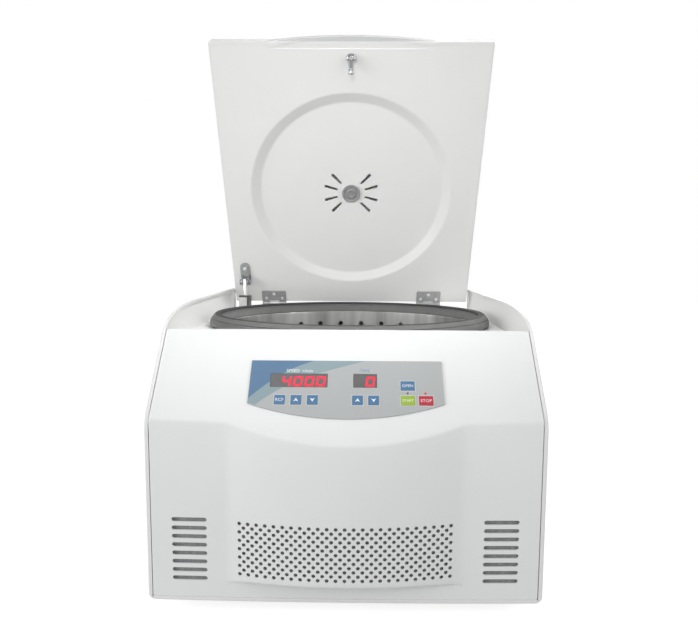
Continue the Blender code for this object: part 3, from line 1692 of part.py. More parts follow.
def make_control_panel():
    half = OVERLAY_HALF_WIDTH
    sag = OVERLAY_SHOULDER - OVERLAY_LOWEST
    radius = (half**2 + sag**2) / (2 * sag)
    half_angle = math.asin(half / radius)
    outline = [(half, OVERLAY_TOP), (-half, OVERLAY_TOP)]
    for step in range(OVERLAY_STEPS + 1):
        angle = half_angle * (2 * step / OVERLAY_STEPS - 1)
        outline.append(
            (radius * math.sin(angle), OVERLAY_LOWEST + radius * (1 - math.cos(angle)))
        )
    overlay = on_fascia(
        outline_solid("control_overlay", outline, GAP, GAP + OVERLAY_SHEET)
    )
    windows = {
        "speed_window": (SPEED_WINDOW_LEFT, SPEED_WINDOW_WIDTH),
        "time_window": (TIME_WINDOW_LEFT, TIME_WINDOW_WIDTH),
    }
    for name, (left, width) in windows.items():
        low = (left, WINDOW_BOTTOM)
        high = (left + width, WINDOW_BOTTOM + WINDOW_HEIGHT)
        cut(overlay, panel_opening(f"{name}_opening", low, high))
        window = block(name, (*low, GAP), (*high, GAP + WINDOW_SHEET))
        place_part(on_fascia(window), "window_tint", smooth=False)
    colours = {"start_key": "green_key", "stop_key": "red_key"}
    top = GAP + OVERLAY_SHEET + KEY_PROUD
    for name, ((x, row), half_width) in key_places().items():
        low = (x - half_width, row - KEY_SIZE / 2)
        high = (x + half_width, row + KEY_SIZE / 2)
        cut(overlay, panel_opening(f"{name}_opening", low, high))
        key = block(name, (*low, top - KEY_THICKNESS), (*high, top))
        place_part(on_fascia(key), colours.get(name, "blue_key"), smooth=False)
    place_part(overlay, "panel_film", smooth=False)
    board_top = -SHELL_WALL - GAP
    board = block(
        "control_board",
        (-BOARD_WIDTH / 2, BOARD_CENTRE - BOARD_LENGTH / 2, board_top - BOARD_SHEET),
        (BOARD_WIDTH / 2, BOARD_CENTRE + BOARD_LENGTH / 2, board_top),
    )
    place_part(on_fascia(board), "circuit_board", smooth=False)


def make_power_board():
    low_y = REAR_Y - POWER_BOARD_FROM_REAR
    left = POWER_BOARD_CENTRE_X - POWER_BOARD_WIDTH / 2
    right = POWER_BOARD_CENTRE_X + POWER_BOARD_WIDTH / 2
    bottom = TRAY_TOP + GAP
    board = block(
        "power_board",
        (left, low_y - POWER_BOARD_LENGTH, bottom),
        (right, low_y, bottom + BOARD_SHEET),
    )
    fuse(
        board,
        block(
            "heat_sink",
            (right - HEAT_SINK_WIDTH, low_y - POWER_BOARD_LENGTH + GAP, bottom + BOARD_SHEET / 2),
            (right - GAP, low_y - GAP, bottom + HEAT_SINK_HEIGHT),
        ),
    )
    place_part(board, "circuit_board", smooth=False)


def make_power_inlet():
    width, height = INLET_HALF_WIDTH, INLET_HALF_HEIGHT
    outer = REAR_Y + GAP + INLET_FLANGE_SHEET
    inlet = block(
        "power_inlet",
        (INLET_X - width, REAR_Y - INLET_DEPTH, MAINS_HEIGHT - height),
        (INLET_X + width, REAR_Y + GAP * 2, MAINS_HEIGHT + height),
    )
    flange = INLET_FLANGE
    fuse(
        inlet,
        block(
            "inlet_flange",
            (INLET_X - width - flange, REAR_Y + GAP, MAINS_HEIGHT - height - flange),
            (INLET_X + width + flange, outer, MAINS_HEIGHT + height + flange),
        ),
    )
    floor = REAR_Y - INLET_DEPTH + INLET_FLOOR
    cut(
        inlet,
        block(
            "inlet_cavity",
            (INLET_X - width + INLET_WALL, floor, MAINS_HEIGHT - height + INLET_WALL),
            (INLET_X + width - INLET_WALL, outer + OVERRUN, MAINS_HEIGHT + height - INLET_WALL),
        ),
    )
    for index in range(3):
        x = INLET_X + (index - 1) * PIN_PITCH / 2
        z = MAINS_HEIGHT + PIN_LIFT + (PIN_LIFT if index == 1 else 0)
        fuse(
            inlet,
            block(
                f"inlet_pin_{index}",
                (x - PIN_WIDTH / 2, floor - INLET_FLOOR / 2, z - PIN_HEIGHT / 2),
                (x + PIN_WIDTH / 2, floor + PIN_LENGTH, z + PIN_HEIGHT / 2),
            ),
        )
    place_part(inlet, "black_plastic")


def make_power_switch():
    width, height = SWITCH_HALF_WIDTH, SWITCH_HALF_HEIGHT
    body = block(
        "power_switch_body",
        (SWITCH_X - width, REAR_Y - SWITCH_DEPTH, MAINS_HEIGHT - height),
        (SWITCH_X + width, REAR_Y + GAP, MAINS_HEIGHT + height),
    )
    cut(
        body,
        block(
            "switch_cavity",
            (
                SWITCH_X - width + SWITCH_WALL,
                REAR_Y - SWITCH_DEPTH + SWITCH_WALL,
                MAINS_HEIGHT - height + SWITCH_WALL,
            ),
            (
                SWITCH_X + width - SWITCH_WALL,
                REAR_Y + OVERRUN,
                MAINS_HEIGHT + height - SWITCH_WALL,
            ),
        ),
    )
    place_part(body, "black_plastic")
    axis = pivot(
        "rocker_pivot",
        (SWITCH_X, REAR_Y - ROCKER_PIVOT_DEPTH, MAINS_HEIGHT),
        Matrix.Rotation(-ROCKER_TILT, 4, "X"),
    )
    half = width - SWITCH_WALL - GAP
    rocker = block(
        "power_rocker",
        (-half, -ROCKER_BEHIND_PIVOT, -ROCKER_HALF_HEIGHT),
        (half, ROCKER_THICKNESS - ROCKER_BEHIND_PIVOT, ROCKER_HALF_HEIGHT),
    )
    place_part(rocker, "red_key", axis)


def main():
    clear_scene()
    make_outer_casing()
    make_front_shell()
    make_base_tray()
    make_deck()
    make_chamber()
    make_motor()
    make_rotor()
    lid = pivot(
        "lid_axis", (0, HINGE_Y, HINGE_Z), Matrix.Rotation(-LID_OPEN_ANGLE, 4, "X")
    )
    make_lid(lid)
    for side in (-1, 1):
        make_hinge(side, lid)
    make_striker(lid)
    make_lock()
    make_stay(lid)
    make_control_panel()
    make_power_board()
    make_power_inlet()
    make_power_switch()


main()
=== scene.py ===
"""Low-speed bench centrifuge with its lid open: the looks of every piece.

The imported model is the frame. Each sub-assembly below is a class that holds its sizes, in
metres, builds its meshes with bmesh operators and dresses them. X runs across the front, Y from
the front to the back and Z up, with the origin on the bench under the middle of the object.
"""

from __future__ import annotations

import json
import logging
import math
from collections.abc import Callable, Iterable, Sequence
from dataclasses import dataclass, replace
from enum import Enum

import bmesh
import bpy
from mathutils import Matrix, Vector

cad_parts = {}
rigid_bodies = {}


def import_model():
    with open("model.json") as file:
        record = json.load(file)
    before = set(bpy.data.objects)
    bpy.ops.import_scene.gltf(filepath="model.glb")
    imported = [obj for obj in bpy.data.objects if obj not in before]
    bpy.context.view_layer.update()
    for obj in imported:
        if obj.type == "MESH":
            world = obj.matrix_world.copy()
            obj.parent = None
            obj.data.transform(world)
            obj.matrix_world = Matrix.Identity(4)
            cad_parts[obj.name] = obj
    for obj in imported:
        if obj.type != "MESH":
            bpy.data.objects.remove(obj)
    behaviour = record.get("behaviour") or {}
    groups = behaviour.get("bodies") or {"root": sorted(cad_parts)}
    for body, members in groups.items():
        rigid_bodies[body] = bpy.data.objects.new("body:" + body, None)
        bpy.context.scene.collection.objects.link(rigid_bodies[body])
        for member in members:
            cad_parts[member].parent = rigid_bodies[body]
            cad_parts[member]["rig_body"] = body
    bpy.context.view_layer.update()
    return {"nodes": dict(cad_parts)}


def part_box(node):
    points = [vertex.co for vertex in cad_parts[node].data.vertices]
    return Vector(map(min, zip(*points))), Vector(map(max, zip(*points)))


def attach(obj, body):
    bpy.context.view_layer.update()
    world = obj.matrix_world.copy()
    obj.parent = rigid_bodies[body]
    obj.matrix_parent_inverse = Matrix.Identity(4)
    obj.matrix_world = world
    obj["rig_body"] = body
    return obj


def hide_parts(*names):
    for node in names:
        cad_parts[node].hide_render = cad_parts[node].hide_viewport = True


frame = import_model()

LOG = logging.getLogger("centrifuge")
MM = 0.001
GAP = 0.0003
BRUSH_STRETCH = 0.04
CASE = "case"
LID = "lid"
ROTOR = "rotor"
ROD = "stay_rod"

Point = Sequence[float]
Shape = bmesh.types.BMesh
UPSIDE_DOWN = Matrix.Rotation(math.pi, 4, "X")


class Grain(Enum):
    """The ways a surface's fine texture runs."""

    ORANGE_PEEL = "orange peel"
    SPARKED = "sparked"
    BRUSHED_ROUND = "brushed round"
    SPANGLED = "spangled"
    SMOOTH = "smooth"


def to_linear(hex_colour: str) -> tuple[float, float, float, float]:
    """Turns an sRGB hex colour to the linear one that shaders take.

    Args:
        hex_colour: Six hex digits, as in "EDEDEB".

    Returns:
        Linear red, green, blue and an alpha of one.
    """
    shares = [int(hex_colour[start : start + 2], 16) / 255 for start in (0, 2, 4)]
    linear = [s / 12.92 if s <= 0.04045 else ((s + 0.055) / 1.055) ** 2.4 for s in shares]
    return (linear[0], linear[1], linear[2], 1.0)


def add_node(
    tree: bpy.types.NodeTree,
    kind: str,
    settings: dict[str, object] | None = None,
    values: dict[str, object] | None = None,
    links: dict[str, bpy.types.NodeSocket] | None = None,
) -> bpy.types.Node:
    """Adds a node with its settings, its constant inputs and its links.

    Args:
        tree: The node tree that gets the node.
        kind: The node's type name.
        settings: Properties of the node itself.
        values: Default values by input name or number.
        links: Output sockets by the input that they feed.

    Returns:
        The new node.
    """
    node = tree.nodes.new(kind)
    for key, value in (settings or {}).items():
        setattr(node, key, value)
    for key, value in (values or {}).items():
        node.inputs[key].default_value = value
    for key, socket in (links or {}).items():
        tree.links.new(socket, node.inputs[key])
    return node


@dataclass(frozen=True)
class Finish:
    """A real material: what it is made of and how its surface was made.

    Attributes:
        name: The material's common name and surface, in words joined by underscores.
        colour: Its sRGB hex colour.
        roughness: Microfacet roughness.
        metallic: One for a bare metal.
        ior: Index of refraction of a plastic, paint or rubber.
        grain: How its texture runs.
        grain_mm: Distance between the texture's peaks.
        relief_mm: Height of the texture.
        mottle: Share by which its colour varies from patch to patch.
        roughness_spread: How far its roughness varies over the grain.
        anisotropy: Stretch of highlights across brushing.
        coat: Weight of a clear coat.
        glow: Strength of its own light.
        patch_mm: Size of the patches in which the colour varies.
        patch_rise: Scale of the patches' height; near zero they become upright streaks.
    """

    name: str
    colour: str
    roughness: float
    metallic: float = 0.0
    ior: float = 1.5
    grain: Grain = Grain.SMOOTH
    grain_mm: float = 1.0
    relief_mm: float = 0.0
    mottle: float = 0.0
    roughness_spread: float = 0.0
    anisotropy: float = 0.0
    coat: float = 0.0
    glow: float = 0.0
    patch_mm: float = 60.0
    patch_rise: float = 1.0

    def material(self) -> bpy.types.Material:
        """Builds the node material once and gives it back after that."""
        made = bpy.data.materials.get(self.name)
        if made:
            return made
        made = bpy.data.materials.new(self.name)
        made.use_nodes = True
        tree = made.node_tree
        shader = tree.nodes["Principled BSDF"]
        shader.inputs["Roughness"].default_value = self.roughness
        shader.inputs["Metallic"].default_value = self.metallic
        if not self.metallic:
            shader.inputs["IOR"].default_value = self.ior
        shader.inputs["Anisotropic"].default_value = self.anisotropy
        shader.inputs["Coat Weight"].default_value = self.coat
        shader.inputs["Coat Roughness"].default_value = 0.08
        shader.inputs["Base Color"].default_value = to_linear(self.colour)
        if self.glow:
            shader.inputs["Emission Color"].default_value = to_linear(self.colour)
            shader.inputs["Emission Strength"].default_value = self.glow
        place = add_node(tree, "ShaderNodeTexCoord").outputs["Object"]
        self._colour_the_patches(tree, shader, place)
        self._raise_the_grain(tree, shader, place)
        return made

    def _colour_the_patches(
        self, tree: bpy.types.NodeTree, shader: bpy.types.Node, place: bpy.types.NodeSocket
    ) -> None:
        """Varies the colour in broad soft patches, as sprayed and moulded surfaces do; drawn out into
        upright streaks, as on the spun bowl, they are painted reflections.
        """
        drawn = add_node(
            tree,
            "ShaderNodeMapping",
            values={"Scale": (1.0, 1.0, self.patch_rise)},
            links={"Vector": place},
        )
        patches = add_node(
            tree,
            "ShaderNodeTexNoise",
            values={"Scale": 1 / (self.patch_mm * MM), "Detail": 3.0},
            links={"Vector": drawn.outputs["Vector"]},
        )
        share = add_node(
            tree,
            "ShaderNodeMapRange",
            values={"From Min": 0.3, "From Max": 0.7, "To Min": 1 - self.mottle, "To Max": 1.0},
            links={"Value": patches.outputs["Fac"]},
        )
        base = add_node(
            tree,
            "ShaderNodeMix",
            settings={"data_type": "RGBA", "blend_type": "MULTIPLY"},
            values={"Factor": 1.0, "A": to_linear(self.colour)},
            links={"B": share.outputs["Result"]},
        )
        tree.links.new(base.outputs["Result"], shader.inputs["Base Color"])

    def _raise_the_grain(
        self, tree: bpy.types.NodeTree, shader: bpy.types.Node, place: bpy.types.NodeSocket
    ) -> None:
        """Gives the surface its fine relief and lets its roughness follow it."""
        if self.grain is Grain.SMOOTH:
            return
        drawn_out = self.grain is Grain.BRUSHED_ROUND
        stretch = (BRUSH_STRETCH, BRUSH_STRETCH, 1.0) if drawn_out else (1.0, 1.0, 1.0)
        laid = add_node(
            tree, "ShaderNodeMapping", values={"Scale": stretch}, links={"Vector": place}
        )
        if self.grain is Grain.SPANGLED:
            grain = add_node(
                tree,
                "ShaderNodeTexVoronoi",
                values={"Scale": 1 / (self.grain_mm * MM)},
                links={"Vector": laid.outputs["Vector"]},
            )
            height = grain.outputs["Distance"]
        else:
            grain = add_node(
                tree,
                "ShaderNodeTexNoise",
                values={
                    "Scale": 1 / (self.grain_mm * MM),
                    "Detail": 4.0 if self.grain is Grain.SPARKED else 2.0,
                },
                links={"Vector": laid.outputs["Vector"]},
            )
            height = grain.outputs["Fac"]
        bump = add_node(
            tree,
            "ShaderNodeBump",
            values={"Strength": 1.0, "Distance": self.relief_mm * MM},
            links={"Height": height},
        )
        tree.links.new(bump.outputs["Normal"], shader.inputs["Normal"])
        if self.roughness_spread:
            rough = add_node(
                tree,
                "ShaderNodeMapRange",
                values={
                    "To Min": max(0.02, self.roughness - self.roughness_spread),
                    "To Max": self.roughness + self.roughness_spread,
                },
                links={"Value": height},
            )
            tree.links.new(rough.outputs["Result"], shader.inputs["Roughness"])


# Powder coat on sheet steel: a warm white with a faint orange peel that softens highlights.
POWDER_COAT = Finish(
    "powder_coated_steel",
    "EFEFEE",
    0.42,
    grain=Grain.ORANGE_PEEL,
    grain_mm=1.6,
    relief_mm=0.012,
    mottle=0.015,
    roughness_spread=0.05,
    coat=0.15,
)
# ABS moulded in a lightly sparked tool: satin white, a little cooler than the paint.
MOULDED_ABS = Finish(
    "moulded_abs",
    "EFF0F0",
    0.33,
    grain=Grain.SPARKED,
    grain_mm=0.9,
    relief_mm=0.010,
    mottle=0.015,
    roughness_spread=0.05,
)
# The grip's moulding, given a greyer colour than the lid: painted shade, so it shows against the white
# behind it.
GRIP_ABS_PAINTED_SHADE = replace(MOULDED_ABS, name="moulded_abs_grip_painted_shade", colour="D3D4D4", roughness=0.36)
# Stainless spun on a lathe and brushed round: stretched highlights down the wall. Its colour is
# streaked darker and lighter down the wall: painted reflections.
SPUN_STAINLESS = Finish(
    "spun_stainless",
    "EFEFED",
    0.42,
    metallic=1.0,
    grain=Grain.BRUSHED_ROUND,
    grain_mm=0.5,
    relief_mm=0.004,
    mottle=0.52,
    patch_mm=28.0,
    patch_rise=0.02,
    roughness_spread=0.06,
    anisotropy=0.5,
)
# Moulded EPDM rubber: dark grey, matt, with a fine bloom.
EPDM = Finish(
    "moulded_epdm",
    "767675",
    0.72,
    ior=1.52,
    grain=Grain.SPARKED,
    grain_mm=0.7,
    relief_mm=0.02,
    mottle=0.10,
    roughness_spread=0.08,
    patch_mm=14.0,
)
# Phosphated steel: a darker grey than zinc, with a few soft lights on its edges.
BLACKENED_STEEL = Finish(
    "phosphated_steel",
    "B2B4B5",
    0.34,
    metallic=1.0,
    grain=Grain.SPARKED,
    grain_mm=0.5,
    relief_mm=0.012,
    mottle=0.12,
    patch_mm=6.0,
    roughness_spread=0.06,
)
# Zinc-plated screw heads: paler and duller than turned steel, so they read as dots of light.
ZINC_SCREW = Finish("zinc_plated_screw", "F2F2F2", 0.44, metallic=1.0)
# Hard-chromed rod: very pale and smooth, with long highlights.
CHROMED_ROD = Finish("hard_chromed_rod", "F6F6F6", 0.40, metallic=1.0)
# The same rubber, unbloomed and darker, on the seal's crown and soft lip: painted shade.
EPDM_PAINTED_SHADE = replace(
    EPDM,
    name="moulded_epdm_painted_shade",
    colour="363635",
    roughness=0.66,
    mottle=0.08,
    roughness_spread=0.0,
)
# Zinc-plated pressed steel: satin grey with a faint spangle.
ZINC_PLATE = Finish(
    "zinc_plated_steel",
    "C4C5C5",
    0.46,
    metallic=1.0,
    grain=Grain.SPANGLED,
    grain_mm=1.5,
    relief_mm=0.01,
    mottle=0.16,
    roughness_spread=0.10,
    patch_mm=5.0,
)
# Turned and polished steel: bright with fine tool marks round it.
TURNED_STEEL = Finish(
    "turned_steel",
    "C2C2C2",
    0.30,
    metallic=1.0,
    grain=Grain.BRUSHED_ROUND,
    grain_mm=0.4,
    relief_mm=0.003,
    mottle=0.05,
    roughness_spread=0.06,
    patch_mm=6.0,
)
# Anodised aluminium, bead blasted first: soft grey sheen.
ANODISED = Finish(
    "anodised_aluminium",
    "BFC1C3",
    0.36,
    metallic=1.0,
    grain=Grain.SPARKED,
    grain_mm=0.5,
    relief_mm=0.006,
    mottle=0.04,
    roughness_spread=0.06,
)
# Acetal vent plug: mid grey, moulded, slightly waxy.
GREY_ACETAL = Finish(
    "grey_acetal",
    "9A9A9A",
    0.45,
    ior=1.48,
    grain=Grain.SPARKED,
    grain_mm=0.6,
    relief_mm=0.01,
    mottle=0.08,
    patch_mm=8.0,
)
# Natural nylon guide block: off-white and slightly waxy.
NYLON = Finish(
    "natural_nylon",
    "DFDFDD",
    0.42,
    ior=1.53,
    grain=Grain.SPARKED,
    grain_mm=0.8,
    relief_mm=0.01,
    mottle=0.04,
    patch_mm=10.0,
)
# The guide block's nylon, darker on its top and right side: painted shade.
NYLON_PAINTED_SHADE = replace(NYLON, name="nylon_painted_shade", colour="5B5B5C", roughness=0.5, mottle=0.06)
# Glass-filled black nylon of the lock, the inlet and the switch.
BLACK_NYLON = replace(
    NYLON,
    name="glass_filled_nylon",
    colour="242425",
    roughness=0.52,
    relief_mm=0.015,
    mottle=0.08,
    roughness_spread=0.06,
    patch_mm=12.0,
)
# A grey, very rough, cellular sheet behind the grille: painted shade that sets how dark the holes and
# slots look.
GRILLE_SHADE_SHEET = Finish(
    "grille_painted_shade_sheet",
    "A4A5A6",
    0.95,
    grain=Grain.SPANGLED,
    grain_mm=1.2,
    relief_mm=0.3,
    mottle=0.3,
    patch_mm=3.0,
)
# Polyester panel film printed in cool grey on its back: satin with a fine emboss.
GREY_FILM = Finish(
    "printed_film_grey",
    "B5B8B8",
    0.46,
    ior=1.58,
    grain=Grain.SPARKED,
    grain_mm=0.7,
    relief_mm=0.008,
    mottle=0.02,
)
# The same film where it is printed blue.
BLUE_FILM = replace(GREY_FILM, name="printed_film_blue", colour="5D7FA0", mottle=0.03)
# The pale blue printed band beside the blue field.
PALE_FILM = replace(GREY_FILM, name="printed_film_pale_blue", colour="90A4AB")
# The pale printed frame round each key.
FRAME_INK = replace(GREY_FILM, name="printed_film_light_frame", colour="CFD2D1")
# Embossed film keys, printed blue.
BLUE_KEY = Finish(
    "embossed_film_blue",
    "4F7DA6",
    0.42,
    ior=1.58,
    grain=Grain.SPARKED,
    grain_mm=0.6,
    relief_mm=0.008,
    mottle=0.03,
    patch_mm=12.0,
)
# Embossed film key, printed green.
GREEN_KEY = replace(BLUE_KEY, name="embossed_film_green", colour="A2BF40")
# Embossed film key, printed red.
RED_KEY = replace(BLUE_KEY, name="embossed_film_red", colour="C23447")
# White screen ink of the captions.
WHITE_INK = Finish(
    "white_screen_ink",
    "F2F2F0",
    0.5,
    grain=Grain.SPARKED,
    grain_mm=0.4,
    relief_mm=0.004,
    mottle=0.02,
)
# Blue screen ink of the captions on grey.
BLUE_INK = replace(WHITE_INK, name="blue_screen_ink", colour="6C92BC")
# Smoked acrylic over the displays: dark grey, glossy.
SMOKED_ACRYLIC = Finish(
    "smoked_acrylic",
    "6C6C6C",
    0.30,
    ior=1.49,
    grain=Grain.SPARKED,
    grain_mm=0.5,
    relief_mm=0.003,
    mottle=0.08,
    patch_mm=6.0,
)
# Lit segments of the displays.
LIT_SEGMENT = Finish("lit_segment_red", "E03A50", 0.4, mottle=0.04, glow=0.35, patch_mm=5.0)
# Lamp that is lit, in red epoxy.
LIT_LAMP = Finish("epoxy_lamp_red", "D8384C", 0.25, mottle=0.04, glow=0.3, patch_mm=3.0)
# Lamp that is off, in grey epoxy.
DARK_LAMP = Finish("epoxy_lamp_grey", "6F7070", 0.25, mottle=0.06, patch_mm=3.0)
# Solder-masked circuit board.
SOLDER_MASK = Finish(
    "solder_mask_green",
    "1F5A38",
    0.4,
    grain=Grain.SPARKED,
    grain_mm=1.0,
    relief_mm=0.02,
    mottle=0.2,
    patch_mm=6.0,
)
# Satin black rubber of the feet.
FOOT_RUBBER = Finish(
    "foot_rubber",
    "3A3A3A",
    0.75,
    grain=Grain.SPARKED,
    grain_mm=0.8,
    relief_mm=0.03,
    mottle=0.12,
    patch_mm=10.0,
)


def spin_round(bm: Shape, profile: list[object], steps: int) -> None:
    """Spins a drawn profile once round Z."""
    turn = {"cent": (0, 0, 0), "axis": (0, 0, 1), "angle": 2 * math.pi}
    bmesh.ops.spin(bm, geom=profile, steps=steps, use_merge=True, **turn)


def turned_mesh(profile: Sequence[Point], steps: int, ring: bool = False) -> Shape:
    """Spins a profile of (radius, height) about Z.

    Args:
        profile: Points from one end of the profile to the other.
        steps: Facets round the axis.
        ring: Whether the profile closes on itself, as a ring's does.

    Returns:
        The closed turned shape, faces outwards.
    """
    bm = bmesh.new()
    verts = [bm.verts.new((radius, 0, height)) for radius, height in profile]
    pairs = list(zip(verts, verts[1:]))
    if ring:
        pairs.append((verts[-1], verts[0]))
    edges = [bm.edges.new(pair) for pair in pairs]
    spin_round(bm, verts + edges, steps)
    bmesh.ops.remove_doubles(bm, verts=bm.verts, dist=1e-6)
    return faced(bm)


def rounded(profile: Sequence[Point], radii: dict[int, float], steps: int = 4) -> list[Point]:
    """Rounds chosen corners of an open or closed outline.

    Args:
        profile: Corner points.
        radii: How far from the corner each rounding starts, by the corner's number.
        steps: Points added along each rounding.

    Returns:
        The outline with those corners rounded.
    """
    points: list[Point] = []
    count = len(profile)
    for index, corner in enumerate(profile):
        if index not in radii:
            points.append(tuple(corner))
            continue
        middle = Vector(corner)
        before = Vector(profile[(index - 1) % count]) - middle
        after = Vector(profile[(index + 1) % count]) - middle
        start = middle + before.normalized() * radii[index]
        end = middle + after.normalized() * radii[index]
        points += bend(start, middle, end, steps)
    return points


def bend(start: Vector, corner: Vector, end: Vector, steps: int, first: int = 0) -> list[Point]:
    """Draws a parabola that leaves start towards corner and arrives at end.

    Args:
        start: Where it starts.
        corner: The point that both its ends head for.
        end: Where it ends.
        steps: Number of stretches.
        first: One leaves the start out, where the outline already holds it.

    Returns:
        The curve's points.
    """
    shares = [step / steps for step in range(first, steps + 1)]
    return [
        tuple(start * (1 - t) ** 2 + corner * 2 * t * (1 - t) + end * t**2) for t in shares
    ]


def bow_radius(half: float, rise: float) -> float:
    """Radius of the arc that rises so far over so wide a half chord."""
    return (half**2 + rise**2) / (2 * rise)


def arc(start: float, end: float, steps: int) -> list[float]:
    """Angles in radians from start to end degrees, ends included."""
    return [math.radians(start + (end - start) * step / steps) for step in range(steps + 1)]


def box_mesh(low: Point, high: Point, radius: float = 0.0, segments: int = 2) -> Shape:
    """Makes a box with its edges rounded.

    Args:
        low: Lowest corner.
        high: Highest corner.
        radius: Edge rounding.
        segments: Facets in the rounding.

    Returns:
        The box.
    """
    bm = bmesh.new()
    bmesh.ops.create_cube(bm, size=1)
    low, high = Vector(low), Vector(high)
    bmesh.ops.scale(bm, vec=high - low, verts=bm.verts)
    bmesh.ops.translate(bm, vec=(low + high) / 2, verts=bm.verts)
    if radius:
        round_edges(bm, bm.edges, radius, segments)
    return bm


def round_edges(
    bm: Shape, edges: Iterable[bmesh.types.BMEdge], radius: float, segments: int = 2
) -> None:
    """Bevels some edges to an even rounding."""
    bmesh.ops.bevel(
        bm,
        geom=list(edges),
        offset=radius,
        segments=segments,
        profile=0.5,
        affect="EDGES",
        material=-1,
        clamp_overlap=True,
    )


def bar_mesh(
    radius: float, start: float, end: float, steps: int = 32, edge: float = 0.0
) -> Shape:
    """Makes a round bar along Z with its end edges eased.

    Args:
        radius: The bar's radius.
        start: Its lower end.
        end: Its upper end.
        steps: Facets round it.
        edge: How far the end edges are eased.

    Returns:
        The bar.
    """
    profile = [(0, end), (radius, end), (radius, start), (0, start)]
    if edge:
        profile = rounded(profile, {1: edge, 2: edge}, 3)
    return turned_mesh(profile, steps)


def plate_mesh(
    outline: Sequence[Point], low: float, high: float, radius: float = 0.0, segments: int = 2
) -> Shape:
    """Extrudes a flat outline in XY from low to high.

    Args:
        outline: The outline's points, in order.
        low: Height of its underside.
        high: Height of its top.
        radius: Rounding of the top and bottom edges.
        segments: Facets in the rounding.

    Returns:
        The plate.
    """
    bm = bmesh.new()
    face = bm.faces.new([bm.verts.new((x, y, low)) for x, y in outline])
    raised = bmesh.ops.extrude_face_region(bm, geom=[face])
    tops = [item for item in raised["geom"] if isinstance(item, bmesh.types.BMVert)]
    bmesh.ops.translate(bm, vec=(0, 0, high - low), verts=tops)
    bmesh.ops.recalc_face_normals(bm, faces=bm.faces)
    if radius:
        flat = [e for e in bm.edges if abs(e.verts[0].co.z - e.verts[1].co.z) < 1e-7]
        round_edges(bm, flat, radius, segments)
    return bm


def stood(outline: Sequence[Point], near: float, far: float) -> Shape:
    """Extrudes an outline drawn in (X, Z) along Y, from near to far."""
    turn = Matrix(((1, 0, 0, 0), (0, 0, 1, 0), (0, 1, 0, 0), (0, 0, 0, 1)))
    shape = moved(plate_mesh(outline, near, far), turn)
    return faced(shape)


def joined(shapes: Iterable[Shape]) -> Shape:
    """Puts several shapes into one mesh and frees them."""
    whole = bmesh.new()
    for shape in shapes:
        mesh = bpy.data.meshes.new("part")
        shape.to_mesh(mesh)
        shape.free()
        whole.from_mesh(mesh)
        bpy.data.meshes.remove(mesh)
    return whole


def moved(bm: Shape, matrix: Matrix) -> Shape:
    """Carries a shape to its place and gives it back."""
    bmesh.ops.transform(bm, matrix=matrix, verts=bm.verts)
    return bm


def at(x: float, y: float, z: float) -> Matrix:
    """Moves a shape made at the origin to a point."""
    return Matrix.Translation((x, y, z))


def along_x(x: float = 0.0, y: float = 0.0, z: float = 0.0) -> Matrix:
    """Lays a shape made along Z along X and moves it to a point."""
    return at(x, y, z) @ Matrix.Rotation(math.pi / 2, 4, "Y")


def faced(bm: Shape) -> Shape:
    """Turns a closed shape's faces outwards and gives it back."""
    bmesh.ops.recalc_face_normals(bm, faces=bm.faces)
    return bm


def carved(bm: Shape, cutter: Shape) -> Shape:
    """Cuts one shape from another.

    Args:
        bm: The shape to cut; it is freed.
        cutter: The shape to take away; it is freed.

    Returns:
        What is left, faces outwards.
    """
    solids = []
    for shape in (bm, cutter):
        mesh = bpy.data.meshes.new("carve")
        shape.to_mesh(mesh)
        shape.free()
        solid = bpy.data.objects.new("carve", mesh)
        bpy.context.scene.collection.objects.link(solid)
        solids.append(solid)
    boolean = solids[0].modifiers.new("carve", "BOOLEAN")
    boolean.operation = "DIFFERENCE"
    boolean.object = solids[1]
    graph = bpy.context.evaluated_depsgraph_get()
    result = bmesh.new()
    result.from_object(solids[0], graph)
    for solid in solids:
        mesh = solid.data
        bpy.data.objects.remove(solid)
        bpy.data.meshes.remove(mesh)
    return result


def make_piece(
    bm: Shape,
    name: str,
    finish: Finish,
    body: str,
    slot: str,
    replaces: Sequence[str] = (),
    sharp_degrees: float = 32.0,
    even_shading: bool = True,
) -> bpy.types.Object:
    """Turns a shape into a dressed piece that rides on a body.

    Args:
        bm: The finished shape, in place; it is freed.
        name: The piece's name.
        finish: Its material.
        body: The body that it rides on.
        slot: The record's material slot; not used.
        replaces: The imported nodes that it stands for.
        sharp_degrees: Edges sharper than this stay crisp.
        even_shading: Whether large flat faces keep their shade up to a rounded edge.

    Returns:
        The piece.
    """
    mesh = bpy.data.meshes.new(name)
    bm.to_mesh(mesh)
    bm.free()
    piece = bpy.data.objects.new(name, mesh)
    bpy.context.scene.collection.objects.link(piece)
    mesh.materials.append(finish.material())
    mesh.shade_smooth()
    mesh.set_sharp_from_angle(angle=math.radians(sharp_degrees))
    if even_shading:
        weighted = piece.modifiers.new("even_shading", "WEIGHTED_NORMAL")
        weighted.keep_sharp = True
    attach(piece, body)
    if replaces:
        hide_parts(*replaces)
    LOG.info("%s: %d faces on %s", name, len(mesh.polygons), body)
    return piece


def node_mesh(node: str) -> Shape:
    """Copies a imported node's mesh and merges its triangles into whole faces."""
    bm = bmesh.new()
    bm.from_mesh(frame["nodes"][node].data)
    bmesh.ops.remove_doubles(bm, verts=bm.verts, dist=2e-6)
    bmesh.ops.dissolve_limit(
        bm, angle_limit=math.radians(1), verts=bm.verts, edges=bm.edges, delimit=set()
    )
    return bm


